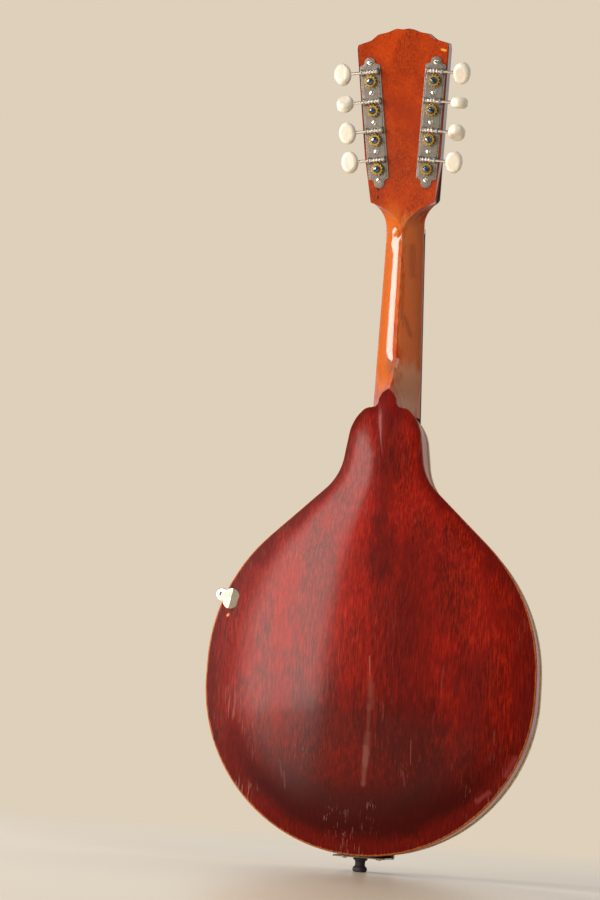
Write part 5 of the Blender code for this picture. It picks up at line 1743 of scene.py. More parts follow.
    def fingerboard(self) -> None:
        """Fingerboard, frets and dots."""
        form, deep = self.form, self.board_thickness
        place = form.neck_frame()
        rings = []
        for along in (form.fret_place(self.frets) - self.board_end, form.length):
            wide = form.half_width(along)
            rings.append(tube_ring(corners((-wide, 0.0), (wide, -deep)), along, 2))
        board = placed(bevelled(loft("fingerboard_wood", rings), self.board_edge), place)
        deliver(board, Looks.ebony, nodes=["fingerboard"])
        wires, end = [], self.fret_inset[1]
        for fret in range(1, self.frets + 1):
            along = form.fret_place(fret)
            wide = form.half_width(along) - self.fret_inset[0]
            rings = []
            stations = ((-wide, self.fret_end), (-wide + end, 1.0), (wide - end, 1.0), (wide, self.fret_end))
            for x, height in stations:
                rings.append([Vector((x, y * height - deep, along + z)) for z, y in self.fret_crown])
            wires.append(loft("fret", rings))
        deliver(placed(joined("fret_wires", wires), place), Looks.bright)
        dots = []
        for fret in self.dot_frets:
            middle = (form.fret_place(fret - 1) + form.fret_place(fret)) / 2
            dot = round_bar("dot", self.dot[0], 0.0, -self.dot[1], 24)
            dots.append(placed(dot, shift(0.0, -deep, middle)))
        deliver(placed(joined("fret_dots", dots), place), Looks.pearl)

    def nut(self) -> None:
        """Bone nut with its string slots."""
        form, over = self.form, OVERSHOOT
        height, long = self.nut_rise - STRING_Y, form.nut_length
        low, high = form.length + GAP, form.length + long
        profile = [(0.0, low), (0.0, high), (-height * 0.8, high), (-height * 0.97, high - self.nut_corner),
                   (-height, high - long * 0.45), (-height, low)]
        item = bevelled(slab("bone_nut", profile, -form.nut_half, form.nut_half, axis=0), EDGE, 40.0)

        def slot(thick: float) -> list[Flat]:
            """Outline of a slot whose floor falls towards the head.

            Args:
                thick: Thickness of the slot's string.

            Returns:
                The outline's points as (y, z).
            """
            floor, top, turn = STRING_Y + thick / 2, -height - over, form.length + long * form.nut_break
            return [(top, low - over), (floor, low - over), (floor, turn),
                    (floor + self.nut_slope, high + over), (top, high + over)]

        deliver(placed(cut(item, string_slots(slot, AT_NUT)), form.neck_frame()), Looks.bone, nodes=["nut"])


# Tuners

def slotted_dome(name: str, size: Flat, slot: Flat, turn: float) -> Piece:
    """Domed screw head on y = 0 with a slot.

    Args:
        name: Name of the new object.
        size: Radius and height of the head.
        slot: Width and depth of the slot.
        turn: Direction of the slot.

    Returns:
        The head, with an attribute that is 1 on the slot's floor, where the plating paints shade.
    """
    (radius, height), (width, depth) = size, slot
    root, rim, steps, power = -0.0002, height * 0.30, 6, 0.8
    profile = [(0.0, root), (radius, root), (radius, rim)]
    for step in range(1, steps):
        angle = math.radians(90.0 * step / steps)
        profile.append((radius * math.cos(angle) ** power, rim + (height - rim) * math.sin(angle)))
    head = spun(name, profile + [(0.0, height)], 28)
    floor, reach = height - depth, radius * 1.2
    tool = slab("slot", corners((-reach, -width / 2), (reach, width / 2)), floor, height + OVERSHOOT)
    cut(head, [placed(tool, turned(turn, "Y"))])
    # The slot's floor is marked for the plating's painted shade.
    slot_shade = [float(abs(vertex.co.y - floor) < 10 * MERGE) for vertex in head.data.vertices]
    return with_values(head, "slot_shade", slot_shade)


@dataclass
class Tuners:
    """Two plates with ears and screws, worm shafts, gears, posts, buttons and bushings."""

    form: NeckForm
    per_side: int = 4
    pitch: float = 0.02301
    first: Flat = (0.01987, 0.05165)
    splay: float = 0.0019
    plate: float = 0.0010
    flange: float = 0.0006
    plate_half: float = 0.0083
    panel_half: float = 0.0069
    panel_inset: float = 0.0009
    foot: float = 0.0150
    tip: float = 0.0190
    tab: float = 0.0043
    tab_neck: float = 0.35            # where a tab ends, as a share of the way to its shoulder
    tab_flare: Flat = (0.0009, 0.0008)
    plate_corner: Flat = (0.0006, 0.0005)
    tip_shoulder: float = 0.0061
    foot_shoulder: float = 0.0074
    foot_screw: float = 0.0061
    tip_screw: float = 0.0045
    worm_offset: float = 0.0073
    worm_height: float = 0.0044
    worm_radius: float = 0.0026
    worm_pitch: float = 0.00244
    worm_turns: int = 3
    core_radius: float = 0.0015
    collar_rise: float = 0.0008
    collar_ends: Flat = (0.0007, 0.0008)
    shaft_radius: float = 0.00125
    shaft_in_button: float = 0.0060
    shaft_chamfer: float = 0.0002
    ear_offset: float = 0.0063
    ear_thickness: float = 0.0009
    ear_width: float = 0.0052
    ear_rise: float = 0.0023
    ear_root: float = 0.0004
    ear_round: float = 0.0016
    ear_edge: float = 0.00022
    ear_room: float = 0.0002
    post_radius: float = 0.0026
    post_waist: float = 0.00045
    post_length: float = 0.0135
    string_hole: Flat = (0.0007, 0.0075)
    gear: Flat = (0.0042, 0.0052)
    gear_flank: tuple[Flat, ...] = ((0.0, 0.00068), (0.00015, 0.00054))
    gear_crest: tuple[Flat, ...] = ((0.0003, 0.00036), (0.0, 0.00018))
    gear_thickness: float = 0.0022
    gear_teeth: int = 12
    gear_edge: float = 0.00018
    screw: Flat = (0.0028, 0.0019)
    screw_slot: Flat = (0.0009, 0.0010)
    plate_screw: Flat = (0.0021, 0.0010)
    plate_screw_slot: Flat = (0.0008, 0.0007)
    button_centre: float = 0.02175
    button_half: Flat = (0.00675, 0.00875)
    button_thickness: float = 0.0085
    button_round: float = 0.0031
    button_bore: Flat = (0.00005, 0.0075)
    slot_turns: tuple[float, ...] = (32.0, 48.0, 20.0, 40.0)
    plate_slot_turns: tuple[float, ...] = (38.0, 62.0, 50.0, 56.0, 20.0)
    button_turns: dict[Side, tuple[float, ...]] = field(default_factory=lambda: {
        Side.TREBLE: (10.0, 0.0, 57.0, 18.0), Side.BASS: (8.0, 65.0, 90.0, 22.0)})

    @property
    def step(self) -> float:
        """Distance between two tuners along the plate."""
        return math.hypot(self.pitch, self.splay)

    @property
    def waist_radius(self) -> float:
        """Radius of a post where its string is wound."""
        return self.post_radius - self.post_waist

    def post_place(self, index: int) -> Flat:
        """Distance of a post from the middle, and its height above the nut."""
        return self.first[0] + self.splay * index, self.first[1] + self.pitch * index

    def frame(self, side: Side, index: int) -> Matrix:
        """Frame at a post on the head's back face, with +Z along the plate.

        Args:
            side: Side of the post.
            index: Its number, from the nut.

        Returns:
            The frame.
        """
        out, up = self.post_place(index)
        tilt = math.atan2(self.splay, self.pitch)
        place = shift(side.value * out, self.form.head_thickness, up)
        return self.form.head_frame() @ place @ Matrix.Rotation(side.value * tilt, 4, "Y")

    def outline(self, half_width: float, inset: float) -> list[Flat]:
        """Outline of a plate or of its raised panel.

        Args:
            half_width: Half its width.
            inset: Distance that its ends are drawn in.

        Returns:
            The outline with a round tab at each end.
        """
        top = self.step * (self.per_side - 1) + self.tip
        tab, half = self.tab - inset, []
        for end, shoulder, way in ((-self.foot, self.foot_shoulder, 1), (top, self.tip_shoulder, -1)):
            end += way * inset
            arc = []
            for turn in range(0, 91, 15):
                angle = math.radians(turn)
                arc.append((tab * math.sin(angle), end + way * tab * (1 - math.cos(angle))))
            arc += [(tab, end + way * (tab + (shoulder - tab) * self.tab_neck)),
                    (tab + self.tab_flare[0], end + way * (shoulder - self.tab_flare[1])),
                    (half_width - self.plate_corner[0], end + way * shoulder),
                    (half_width, end + way * (shoulder + self.plate_corner[1]))]
            half += arc if way > 0 else arc[::-1]
        return mirrored(half)

    def screw_places(self) -> list[float]:
        """Heights of the plate's screws.

        Returns:
            The heights above the plate's first post.
        """
        places = [-self.foot + self.foot_screw]
        reach = self.worm_offset + self.worm_radius + self.step - self.gear[1]
        places += [self.step * index + reach / 2 for index in range(self.per_side - 1)]
        return places + [self.step * (self.per_side - 1) + self.tip - self.tip_screw]

    def build_plate(self, side: Side) -> None:
        """Plate of one side with its ears bent up, and its screws.

        Args:
            side: Side of the plate.
        """
        place, face, level = self.frame(side, 0), GAP + self.plate, self.worm_height
        sheet = slab("tuner_sheet_" + side.label, self.outline(self.plate_half, 0.0), GAP, GAP + self.flange)
        item = bevelled(sheet, SHEET_EDGE)
        panel = slab("panel", self.outline(self.panel_half, self.panel_inset), GAP + self.flange / 2, face)
        cut(item, [bevelled(panel)], "UNION")
        half, thick, reach = self.ear_width / 2, self.ear_thickness / 2, 0.009
        ears, bores = [], []
        for index in range(self.per_side):
            centre = self.step * index + self.worm_offset
            shape = corners((GAP + self.ear_root, centre - half), (level + self.ear_rise, centre + half))
            for out in (-self.ear_offset, self.ear_offset):
                ear = slab("ear", rounded_path(shape, self.ear_round, 4), out - thick, out + thick, axis=0)
                ears.append(bevelled(ear, self.ear_edge))
            bore = round_bar("bore", self.shaft_radius + self.ear_room, -reach, reach, 20)
            bores.append(placed(bore, shift(0.0, level, centre) @ turned(90.0, "Z")))
        cut(item, ears, "UNION")
        cut(item, bores)
        deliver(placed(item, place), Looks.nickel, nodes=["tuner_plate_" + side.label], smooth=30.0)
        screws = zip(self.screw_places(), self.plate_slot_turns)
        for number, (height, turn) in enumerate(screws, start=1):
            head = slotted_dome("plate_screw_%s_%d" % (side.label, number), self.plate_screw,
                                self.plate_screw_slot, turn * side.value)
            deliver(placed(head, place @ shift(0.0, face, height)), Looks.bright)

    def worm(self, side: Side) -> Piece:
        """Worm shaft of one side along X.

        Args:
            side: Side that the shaft points to.

        Returns:
            The shaft with its thread.
        """
        end = self.button_centre - self.button_half[0] + self.shaft_in_button
        inner = -self.ear_offset - self.ear_thickness
        stop = self.ear_offset - self.ear_thickness / 2 - GAP
        core, shaft, chamfer = self.core_radius, self.shaft_radius, self.shaft_chamfer
        collar, (near, far) = core + self.collar_rise, self.collar_ends
        profile = [(0.0, inner), (shaft - chamfer, inner), (shaft, inner + chamfer), (shaft, -stop),
                   (collar, -stop), (collar, -stop + near), (core, -stop + far), (core, stop - far),
                   (collar, stop - near), (collar, stop), (shaft, stop), (shaft, end), (0.0, end)]
        bar = placed(spun("rod", profile, 24), turned(-90.0, "Z"))
        rings, steps, run_out = [], 96, 9
        for index in range(steps + 1):
            share = index / steps * 2 - 1
            turn = share * self.worm_turns * math.pi
            tip = core + (self.worm_radius - core) * min(1.0, (1 - abs(share)) * run_out)
            flank = [(-0.00052, core - 0.0002), (-0.00022, tip - 0.00008)]
            ring = flank + [(0.0, tip)] + [(-offset, radius) for offset, radius in reversed(flank)]
            rings.append([Vector((self.worm_pitch * turn / math.tau + offset, -radius * math.sin(turn),
                                  -radius * math.cos(turn))) for offset, radius in ring])
        item = joined("worm", [bar, loft("thread", rings)])
        return placed(item, Matrix.Scale(-1.0, 4, (1.0, 0.0, 0.0))) if side is Side.BASS else item

    def gear_wheel(self) -> Piece:
        """Gear with a tooth gap that faces the worm.

        Returns:
            The gear around Y.
        """
        root, tip = self.gear
        flank = [(root + rise, half) for rise, half in self.gear_flank]
        flank += [(tip - drop, half) for drop, half in self.gear_crest]
        points = []
        for tooth in range(self.gear_teeth):
            middle = math.tau * (tooth + 0.5) / self.gear_teeth
            for radius, half in [(radius, -half) for radius, half in flank] + flank[::-1]:
                angle = middle + half / radius
                points.append((radius * math.sin(angle), radius * math.cos(angle)))
        low = self.worm_height - self.gear_thickness / 2
        return bevelled(slab("gear", points, low, low + self.gear_thickness), self.gear_edge, SOFT_ANGLE)

    def post(self) -> Piece:
        """String post with a waist, a hole for the string and a domed end.

        Returns:
            The post around Y.
        """
        front = -self.form.head_thickness - self.post_length
        wide, waist, end = self.post_radius, self.waist_radius, self.worm_height - self.gear_thickness / 2
        profile = [(radius, front + level) for radius, level in (
            (0.0, 0.0), (wide * 0.55, 0.0), (wide * 0.9, 0.0003), (wide, 0.0009), (wide, 0.0022),
            (waist, 0.0034), (waist, 0.0096), (wide, 0.0108))]
        item = spun("post", profile + [(wide, end), (0.0, end)], 28)
        radius, height = self.string_hole
        hole = round_bar("hole", radius, -0.004, 0.004, 12)
        return cut(item, [placed(hole, shift(0.0, front + height, 0.0) @ turned(90.0, "Z"))])

    def button(self) -> Piece:
        """Oval button around its shaft on X, with soft edges.

        Returns:
            The button around its own middle.
        """
        half, (room, depth), mouth = self.button_thickness / 2, self.button_bore, 0.0008
        item = slab("button", ellipse(*self.button_half, 40), -half, half)
        bevelled(item, self.button_round, segments=6)
        bore = round_bar("bore", self.shaft_radius + room, 0.0, depth, 16)
        return cut(item, [placed(bore, shift(-self.button_half[0] - mouth, 0.0, 0.0) @ turned(-90.0, "Z"))])

    def bushing(self) -> Piece:
        """Bushing of a post on the veneer's face.

        Returns:
            The bushing around Y.
        """
        front = -self.form.head_thickness
        return spun("bushing", [(radius, front + level) for radius, level in (
            (0.0029, 0.0006), (0.0046, 0.0006), (0.0047, -0.0003), (0.0042, -0.0011), (0.0034, -0.0014),
            (0.0029, -0.0011))], 36)

    def build(self) -> None:
        """Model one tuner of each side and copy it along the plates."""
        bushing, gear, post, button = self.bushing(), self.gear_wheel(), self.post(), self.button()
        high = self.worm_height + self.gear_thickness / 2
        models = [bushing, gear, post, button]
        for side in Side:
            self.build_plate(side)
            worm = self.worm(side)
            models.append(worm)
            for index in range(self.per_side):
                label = "%s_%d" % (side.label, index + 1)
                place = self.frame(side, index)
                axis = place @ shift(0.0, self.worm_height, self.worm_offset)
                turner, rider = "button_" + label, "post_" + label
                deliver(copy_of(bushing, "bushing_" + label, place), Looks.bright)
                deliver(copy_of(gear, "gear_" + label, place), Looks.brass, rider, smooth=30.0)
                deliver(copy_of(post, "post_shaft_" + label, place), Looks.nickel, rider,
                        ["string_post_" + label])
                head = slotted_dome("gear_screw_" + label, self.screw, self.screw_slot,
                                    self.slot_turns[index] * side.value)
                deliver(placed(head, place @ shift(0.0, high, 0.0)), Looks.blued, rider)
                deliver(copy_of(worm, "worm_" + label, axis), Looks.bright, turner, ["worm_shaft_" + label])
                tilt = turned(side.value * self.button_turns[side][index], "X")
                flip = turned(0.0 if side is Side.TREBLE else 180.0, "Y")
                out = shift(side.value * self.button_centre, 0.0, 0.0)
                oval = copy_of(button, "oval_button_" + label, axis @ tilt @ out @ flip)
                deliver(oval, Looks.buttons, turner, ["tuner_button_" + label])
        for model in models:
            bpy.data.objects.remove(model, do_unlink=True)


# Bridge

@dataclass
class Bridge:
    """Base with two threaded studs, two thumb wheels and the saddle."""

    body: BodyForm
    neck: NeckForm
    width: float = 0.110
    base_depth: float = 0.010
    base_height: float = 0.0050
    base_dip: Flat = (0.0026, 6)            # how far the ends fall, and how late
    base_section: tuple[Flat, ...] = ((0.0008, 0.80), (0.0002, 0.62), (0.0, 0.4))
    base_side: float = 0.0009
    saddle_width: float = 0.100
    saddle_depth: float = 0.006
    saddle_dip: Flat = (0.42, 4)
    saddle_rise: float = 0.0003
    saddle_side: float = 0.0016
    saddle_section: tuple[Flat, ...] = ((0.0010, 0.42), (0.0, 0.18))
    stud_spacing: float = 0.074
    stud_radius: float = 0.0015
    stud_in_saddle: float = 0.0040
    stud_groove: float = 0.0002
    wheel_radius: float = 0.0045
    wheel_thickness: float = 0.0018
    wheel_drop: float = 0.0015
    wheel_teeth: int = 20
    wheel_edges: Flat = (0.00018, 0.0004)
    board_face: float = 0.0050
    nut_height: float = 0.0016
    octave_height: float = 0.0029

    def saddle_point(self) -> Flat:
        """Place of the strings' centres on the saddle, as (y, z).

        Returns:
            The place in the model's frame.
        """
        octave = self.neck.scale / 2
        lift = self.nut_height + (self.octave_height - self.nut_height) * self.neck.scale / octave
        along = self.neck.length - self.neck.scale
        point = self.neck.neck_frame() @ Vector((0.0, -self.board_face - lift, along))
        return point.y, point.z

    def levels(self) -> tuple[float, float, float, float, float]:
        """Distances in front of the body: the base's top, the wheels' faces and the saddle's faces.

        Returns:
            The five distances, from the base outwards.
        """
        base = self.body.edge_y + self.body.top_arch + GAP + self.base_height
        low = base + self.wheel_drop
        high = low + self.wheel_thickness
        return base, low, high, high + GAP, -self.saddle_point()[0]

    @staticmethod
    def stations(width: float) -> list[Flat]:
        """Places across a piece, each with its share of the way from the middle to an end.

        Args:
            width: Width of the piece.

        Returns:
            The places as (x, share).
        """
        steps = 32
        places = [width / 2 * (2 * index / steps - 1) for index in range(steps + 1)]
        return [(x, abs(x) / (width / 2)) for x in places]

    def foot(self) -> Piece:
        """Base that stands on the arched soundboard.

        Returns:
            The base.
        """
        top_face, z, half = self.levels()[0], self.saddle_point()[1], self.base_depth / 2
        dip, power = self.base_dip
        rings = []
        for x, share in self.stations(self.width):
            top = -top_face + dip * share ** power
            low = [self.body.top_y(x, z + way * half) - GAP for way in (-1, 1)]
            upper = [(top + drop, half * part) for drop, part in self.base_section]
            section = [(low[0], -half), (low[1], half), (low[1] - self.base_side, half), *upper,
                       *[(y, -dz) for y, dz in reversed(upper)], (low[0] - self.base_side, -half)]
            rings.append([Vector((x, min(y, max(low)), z + dz)) for y, dz in section])
        return bevelled(loft("bridge_foot", rings), EDGE, SOFT_ANGLE)

    def saddle(self) -> Piece:
        """Saddle whose ends fall away, without its holes and notches.

        Returns:
            The saddle.
        """
        low, high = self.levels()[3:]
        z, half = self.saddle_point()[1], self.saddle_depth / 2
        dip, power = self.saddle_dip
        rings = []
        for x, share in self.stations(self.saddle_width):
            top = high + self.saddle_rise - (high - low) * dip * share ** power
            upper = [(-top + drop, half * part) for drop, part in self.saddle_section]
            section = [(-low, -half), (-low, half), (-low - self.saddle_side, half), *upper,
                       *[(y, -dz) for y, dz in reversed(upper)], (-low - self.saddle_side, -half)]
            rings.append([Vector((x, y, z + dz)) for y, dz in section])
        return bevelled(loft("bridge_top", rings), EDGE, SOFT_ANGLE)

    def build(self) -> None:
        """Model the bridge."""
        base_top, wheel_low, wheel_high, saddle_low, saddle_high = self.levels()
        z = self.saddle_point()[1]
        deliver(self.foot(), Looks.ebony, nodes=["bridge_base"])
        saddle, holes, bore = self.saddle(), [], self.stud_radius + GAP
        for side in Side:
            place = shift(side.value * self.stud_spacing / 2, 0.0, z)
            holes.append(placed(round_bar("hole", bore, -0.06, -0.04, 24), place))
            stud = threaded_bar("stud_" + side.label, self.stud_radius, self.stud_groove,
                                -saddle_low - self.stud_in_saddle, -base_top + OVERSHOOT, 22)
            deliver(placed(stud, place), Looks.brass)
            wheel = knurled("thumb_wheel_" + side.label, (bore, self.wheel_radius), -wheel_high, -wheel_low,
                            self.wheel_teeth, *self.wheel_edges)
            deliver(placed(wheel, place), Looks.bright, "wheel_" + side.label, ["bridge_wheel_" + side.label])
        cut(saddle, holes)
        reach, over = self.saddle_depth, 0.003
        cut(saddle, string_slots(
            lambda thick: corners((-saddle_high - over, z - reach), (-saddle_high + thick / 2, z + reach)),
            AT_SADDLE))
        deliver(saddle, Looks.ebony, Body.SADDLE.value, ["bridge_saddle"])


# Strings

@dataclass
class Strings:
    """Four pairs of strings, each in lengths that follow the saddle and the posts."""

    bridge: Bridge
    tuners: Tuners
    rest: tuple[float, ...] = (0.0052, 0.0102, 0.0052, 0.0102)
    hook_y: float = -0.0282
    hook_z: float = 0.0269
    loop_radius: float = 0.0012
    loop_share: float = 0.92
    loop_reach: float = 0.0025
    loop_thickness: float = 0.0004
    twist: float = 0.0003
    windings: float = 3.4
    winding_pitch: float = 1.06
    winding_limit: float = -0.0021    # the lowest turn stays in front of the bushing

    def build(self) -> None:
        """Lay every string."""
        for side in Side:
            for order in range(len(AT_NUT)):
                self.lay(side, order)

    def loop(self, hook: Vector, thick: float) -> Piece:
        """Loop at the string's end, around its hook.

        Args:
            hook: Middle of the hook.
            thick: Thickness of the string.

        Returns:
            The loop.
        """
        size, steps = self.loop_radius, 20
        turns = [math.tau * (index - 0.5) / steps * self.loop_share + math.pi for index in range(steps + 1)]
        points = [hook + Vector((size * math.sin(turn), 0.0, size - 2 * size * (0.5 + 0.5 * math.cos(turn))))
                  for turn in turns]
        return tube("loop", points, min(thick, self.loop_thickness) / 2, 6)

    def lay(self, side: Side, order: int) -> None:
        """Lay one string from its loop over the saddle and the nut to its post.

        Args:
            side: Side of the string.
            order: Its number, from the outermost.
        """
        neck, way = self.bridge.neck, side.value
        thick = GAUGES[side][order]
        look = Looks.wound if side is Side.BASS else Looks.steel
        label = "%s_%d" % (side.label, order + 1)
        node = "string_" + label
        hook = Vector((way * AT_SADDLE[order] * AT_HOOK, self.hook_y, self.hook_z))
        saddle = Vector((way * AT_SADDLE[order], *self.bridge.saddle_point()))
        break_z = neck.length + neck.nut_length * neck.nut_break
        nut = neck.neck_frame() @ Vector((way * AT_NUT[order], STRING_Y, break_z))
        start = hook + Vector((0.0, 0.0, self.loop_reach))
        after = tube("after_" + label, way_between(start, saddle, 12), thick / 2)
        twist = tube("twist", way_between(start, saddle, 120)[:9], thick / 2 + self.twist)
        after = joined("after_" + label, [after, self.loop(hook, thick), twist])
        deliver(after, look, "", [node])
        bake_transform(after)
        speaking = tube("speaking_" + label, way_between(saddle, nut, 24), thick / 2)
        deliver(speaking, look, "")
        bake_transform(speaking)
        self.wind(side, order, nut, look, label)

    def wind(self, side: Side, order: int, nut: Vector, look: Finish, label: str) -> None:
        """Run one string from the nut to its post and wind it round.

        Args:
            side: Side of the string.
            order: Its number, from the outermost.
            nut: Where it leaves the nut.
            look: Its finish.
            label: End of its pieces' names.
        """
        way, thick, height = side.value, GAUGES[side][order], self.rest[order]
        head = self.bridge.neck.head_frame()
        local = head.inverted() @ nut
        out, up = self.tuners.post_place(order)
        radius = self.tuners.waist_radius + thick / 2
        away = Vector((way * out - local.x, up - local.z))
        lean = math.asin(radius / away.length) + math.atan2(way * away.x, away.y)
        first = lean - math.pi / 2

        def around(angle: float, level: float) -> Vector:
            """Point beside the post."""
            x, z = out + radius * math.sin(angle), up + radius * math.cos(angle)
            return head @ Vector((way * x, level, z))

        lead = tube("lead_" + label, way_between(nut, around(first, -height), 6), thick / 2)
        deliver(lead, look)
        coil, steps = [], 24
        for index in range(-1, int(self.windings * steps) + 1):
            drop = -height + thick * self.winding_pitch * index / steps
            coil.append(around(first + math.tau * index / steps, min(drop, self.winding_limit)))
        deliver(tube("winding_" + label, coil, thick / 2, 6), look, "post_" + label)


# Tail

@dataclass
class Tail:
    """Tailpiece with its hooks and screws, the sliding cover and the end pin."""

    body: BodyForm
    half_width: float = 0.020
    sheet: float = 0.0012
    length: float = 0.025
    lift: float = 0.0043
    skirt: float = 0.008
    bend: float = 0.0022
    plate_edge: float = 0.00025
    pin_hole: Flat = (0.0033, 0.02)
    hook_radius: float = 0.0009
    hook_height: float = 0.0030
    hook_place: float = 0.014
    screw_out: float = 0.0135
    screw_back: float = -0.004
    screw: Flat = (0.0024, 0.0012)
    screw_slot: Flat = (0.0006, 0.0006)
    screw_turn: float = 25.0
    cover_length: float = 0.052
    cover_sheet: float = 0.0008
    cover_slope: float = 9.8
    cover_skirt: float = 0.0060
    cover_side: float = 0.0016
    cover_shoulder: float = 0.0045
    cover_bend: float = 0.0018
    cover_clearance: float = 0.0022
    cover_start: float = 0.002
    cover_swell: float = -0.0003
    cover_ends: tuple[Flat, ...] = ((0.0, 0.0009), (0.0008, 0.0004), (0.002, 0.0001), (0.004, 0.0))
    pin_depth: float = 0.024

    @property
    def plate_y(self) -> float:
        """Outer face of the upper plate."""
        return -(self.body.edge_y + self.lift + self.sheet)

    def build(self) -> None:
        """Model the tail's pieces."""
        bottom, half = self.body.bottom, self.sheet / 2
        top = self.plate_y + half
        rim_z = bottom - GAP - half
        shape = sheet_outline([(self.skirt, rim_z), (top, rim_z), (top, bottom + self.length)], self.bend, 6,
                              self.sheet)
        plate = slab("tail_plate", shape, -self.half_width, self.half_width, axis=0)
        bevelled(plate, self.plate_edge)
        hole = round_bar("hole", self.pin_hole[0], 0.0, self.pin_hole[1], 28)
        cut(plate, [placed(hole, turned(90.0, "X"))])
        deliver(plate, Looks.nickel, nodes=["tailpiece"])
        hooks = [self.hook(side.value * at_saddle * AT_HOOK) for side in Side for at_saddle in AT_SADDLE]
        deliver(joined("tail_hooks", hooks), Looks.bright)
        for number, x in enumerate((-self.screw_out, self.screw_out), start=1):
            head = slotted_dome("tail_screw_%d" % number, self.screw, self.screw_slot,
                                self.screw_turn * number)
            turn = shift(x, self.screw_back, rim_z - half) @ turned(-90.0, "X")
            deliver(placed(head, turn), Looks.bright)
        self.cover()
        self.end_pin()

    def hook(self, x: float) -> Piece:
        """Hook that rises from the plate and bends towards the tail.

        Args:
            x: Place of the hook across the plate.

        Returns:
            The hook.
        """
        z = self.body.bottom + self.hook_place
        low, high = self.plate_y + self.sheet * 0.6, self.plate_y - self.hook_height + self.hook_radius
        bend = [(low, z), (low - 0.001, z), (high, z), (high - 0.0004, z - 0.0004),
                (high - 0.0005, z - 0.0010), (high - 0.0005, z - 0.0022)]
        return tube("hook", tube_ring(rounded_path(bend, 0.0005, 3), x, 0), self.hook_radius * 0.8, 10)

    def cover(self) -> None:
        """Cover whose ends are drawn down a little."""
        inside = self.half_width + GAP + self.cover_sheet / 2
        inner, long = inside - self.cover_shoulder, self.cover_length
        stations = [*self.cover_ends, (long / 2, self.cover_swell)]
        stations += [(long - along, drop) for along, drop in reversed(self.cover_ends)]
        rings = []
        for along, drop in stations:
            top = drop - self.cover_sheet
            half = [(inner, top), (inside, self.cover_side), (inside, self.cover_skirt)]
            path = [(-x, y) for x, y in reversed(half)] + half
            rings.append(tube_ring(sheet_outline(path, self.cover_bend, 4, self.cover_sheet), along, 2))
        level = self.plate_y - self.hook_height - self.cover_clearance
        place = shift(0.0, level, self.body.bottom - self.cover_start) @ turned(self.cover_slope, "X")
        item = placed(bevelled(loft("tail_cover", rings), SHEET_EDGE, 60.0), place)
        deliver(item, Looks.smooth, Body.COVER.value, ["tailpiece_cover"])

    def end_pin(self) -> None:
        """Turned end pin."""
        flange, end = self.body.bottom - self.sheet - 2 * GAP, self.body.bottom + self.pin_depth
        profile = [(0.0, 0.0), (0.0036, 0.0), (0.0049, 0.0003), (0.0055, 0.0011), (0.0055, 0.0026),
                   (0.0050, 0.0036), (0.0040, 0.0045), (0.0038, 0.0052), (0.0038, flange - 0.0024),
                   (0.0042, flange - 0.0017), (0.0053, flange - 0.0012), (0.0055, flange - 0.0005),
                   (0.0055, flange), (0.0030, flange), (0.0030, end), (0.0, end)]
        item = placed(spun("turned_pin", profile, 40), turned(90.0, "X"))
        deliver(item, Looks.ebony, nodes=["end_pin"])


# Pickguard and clamp

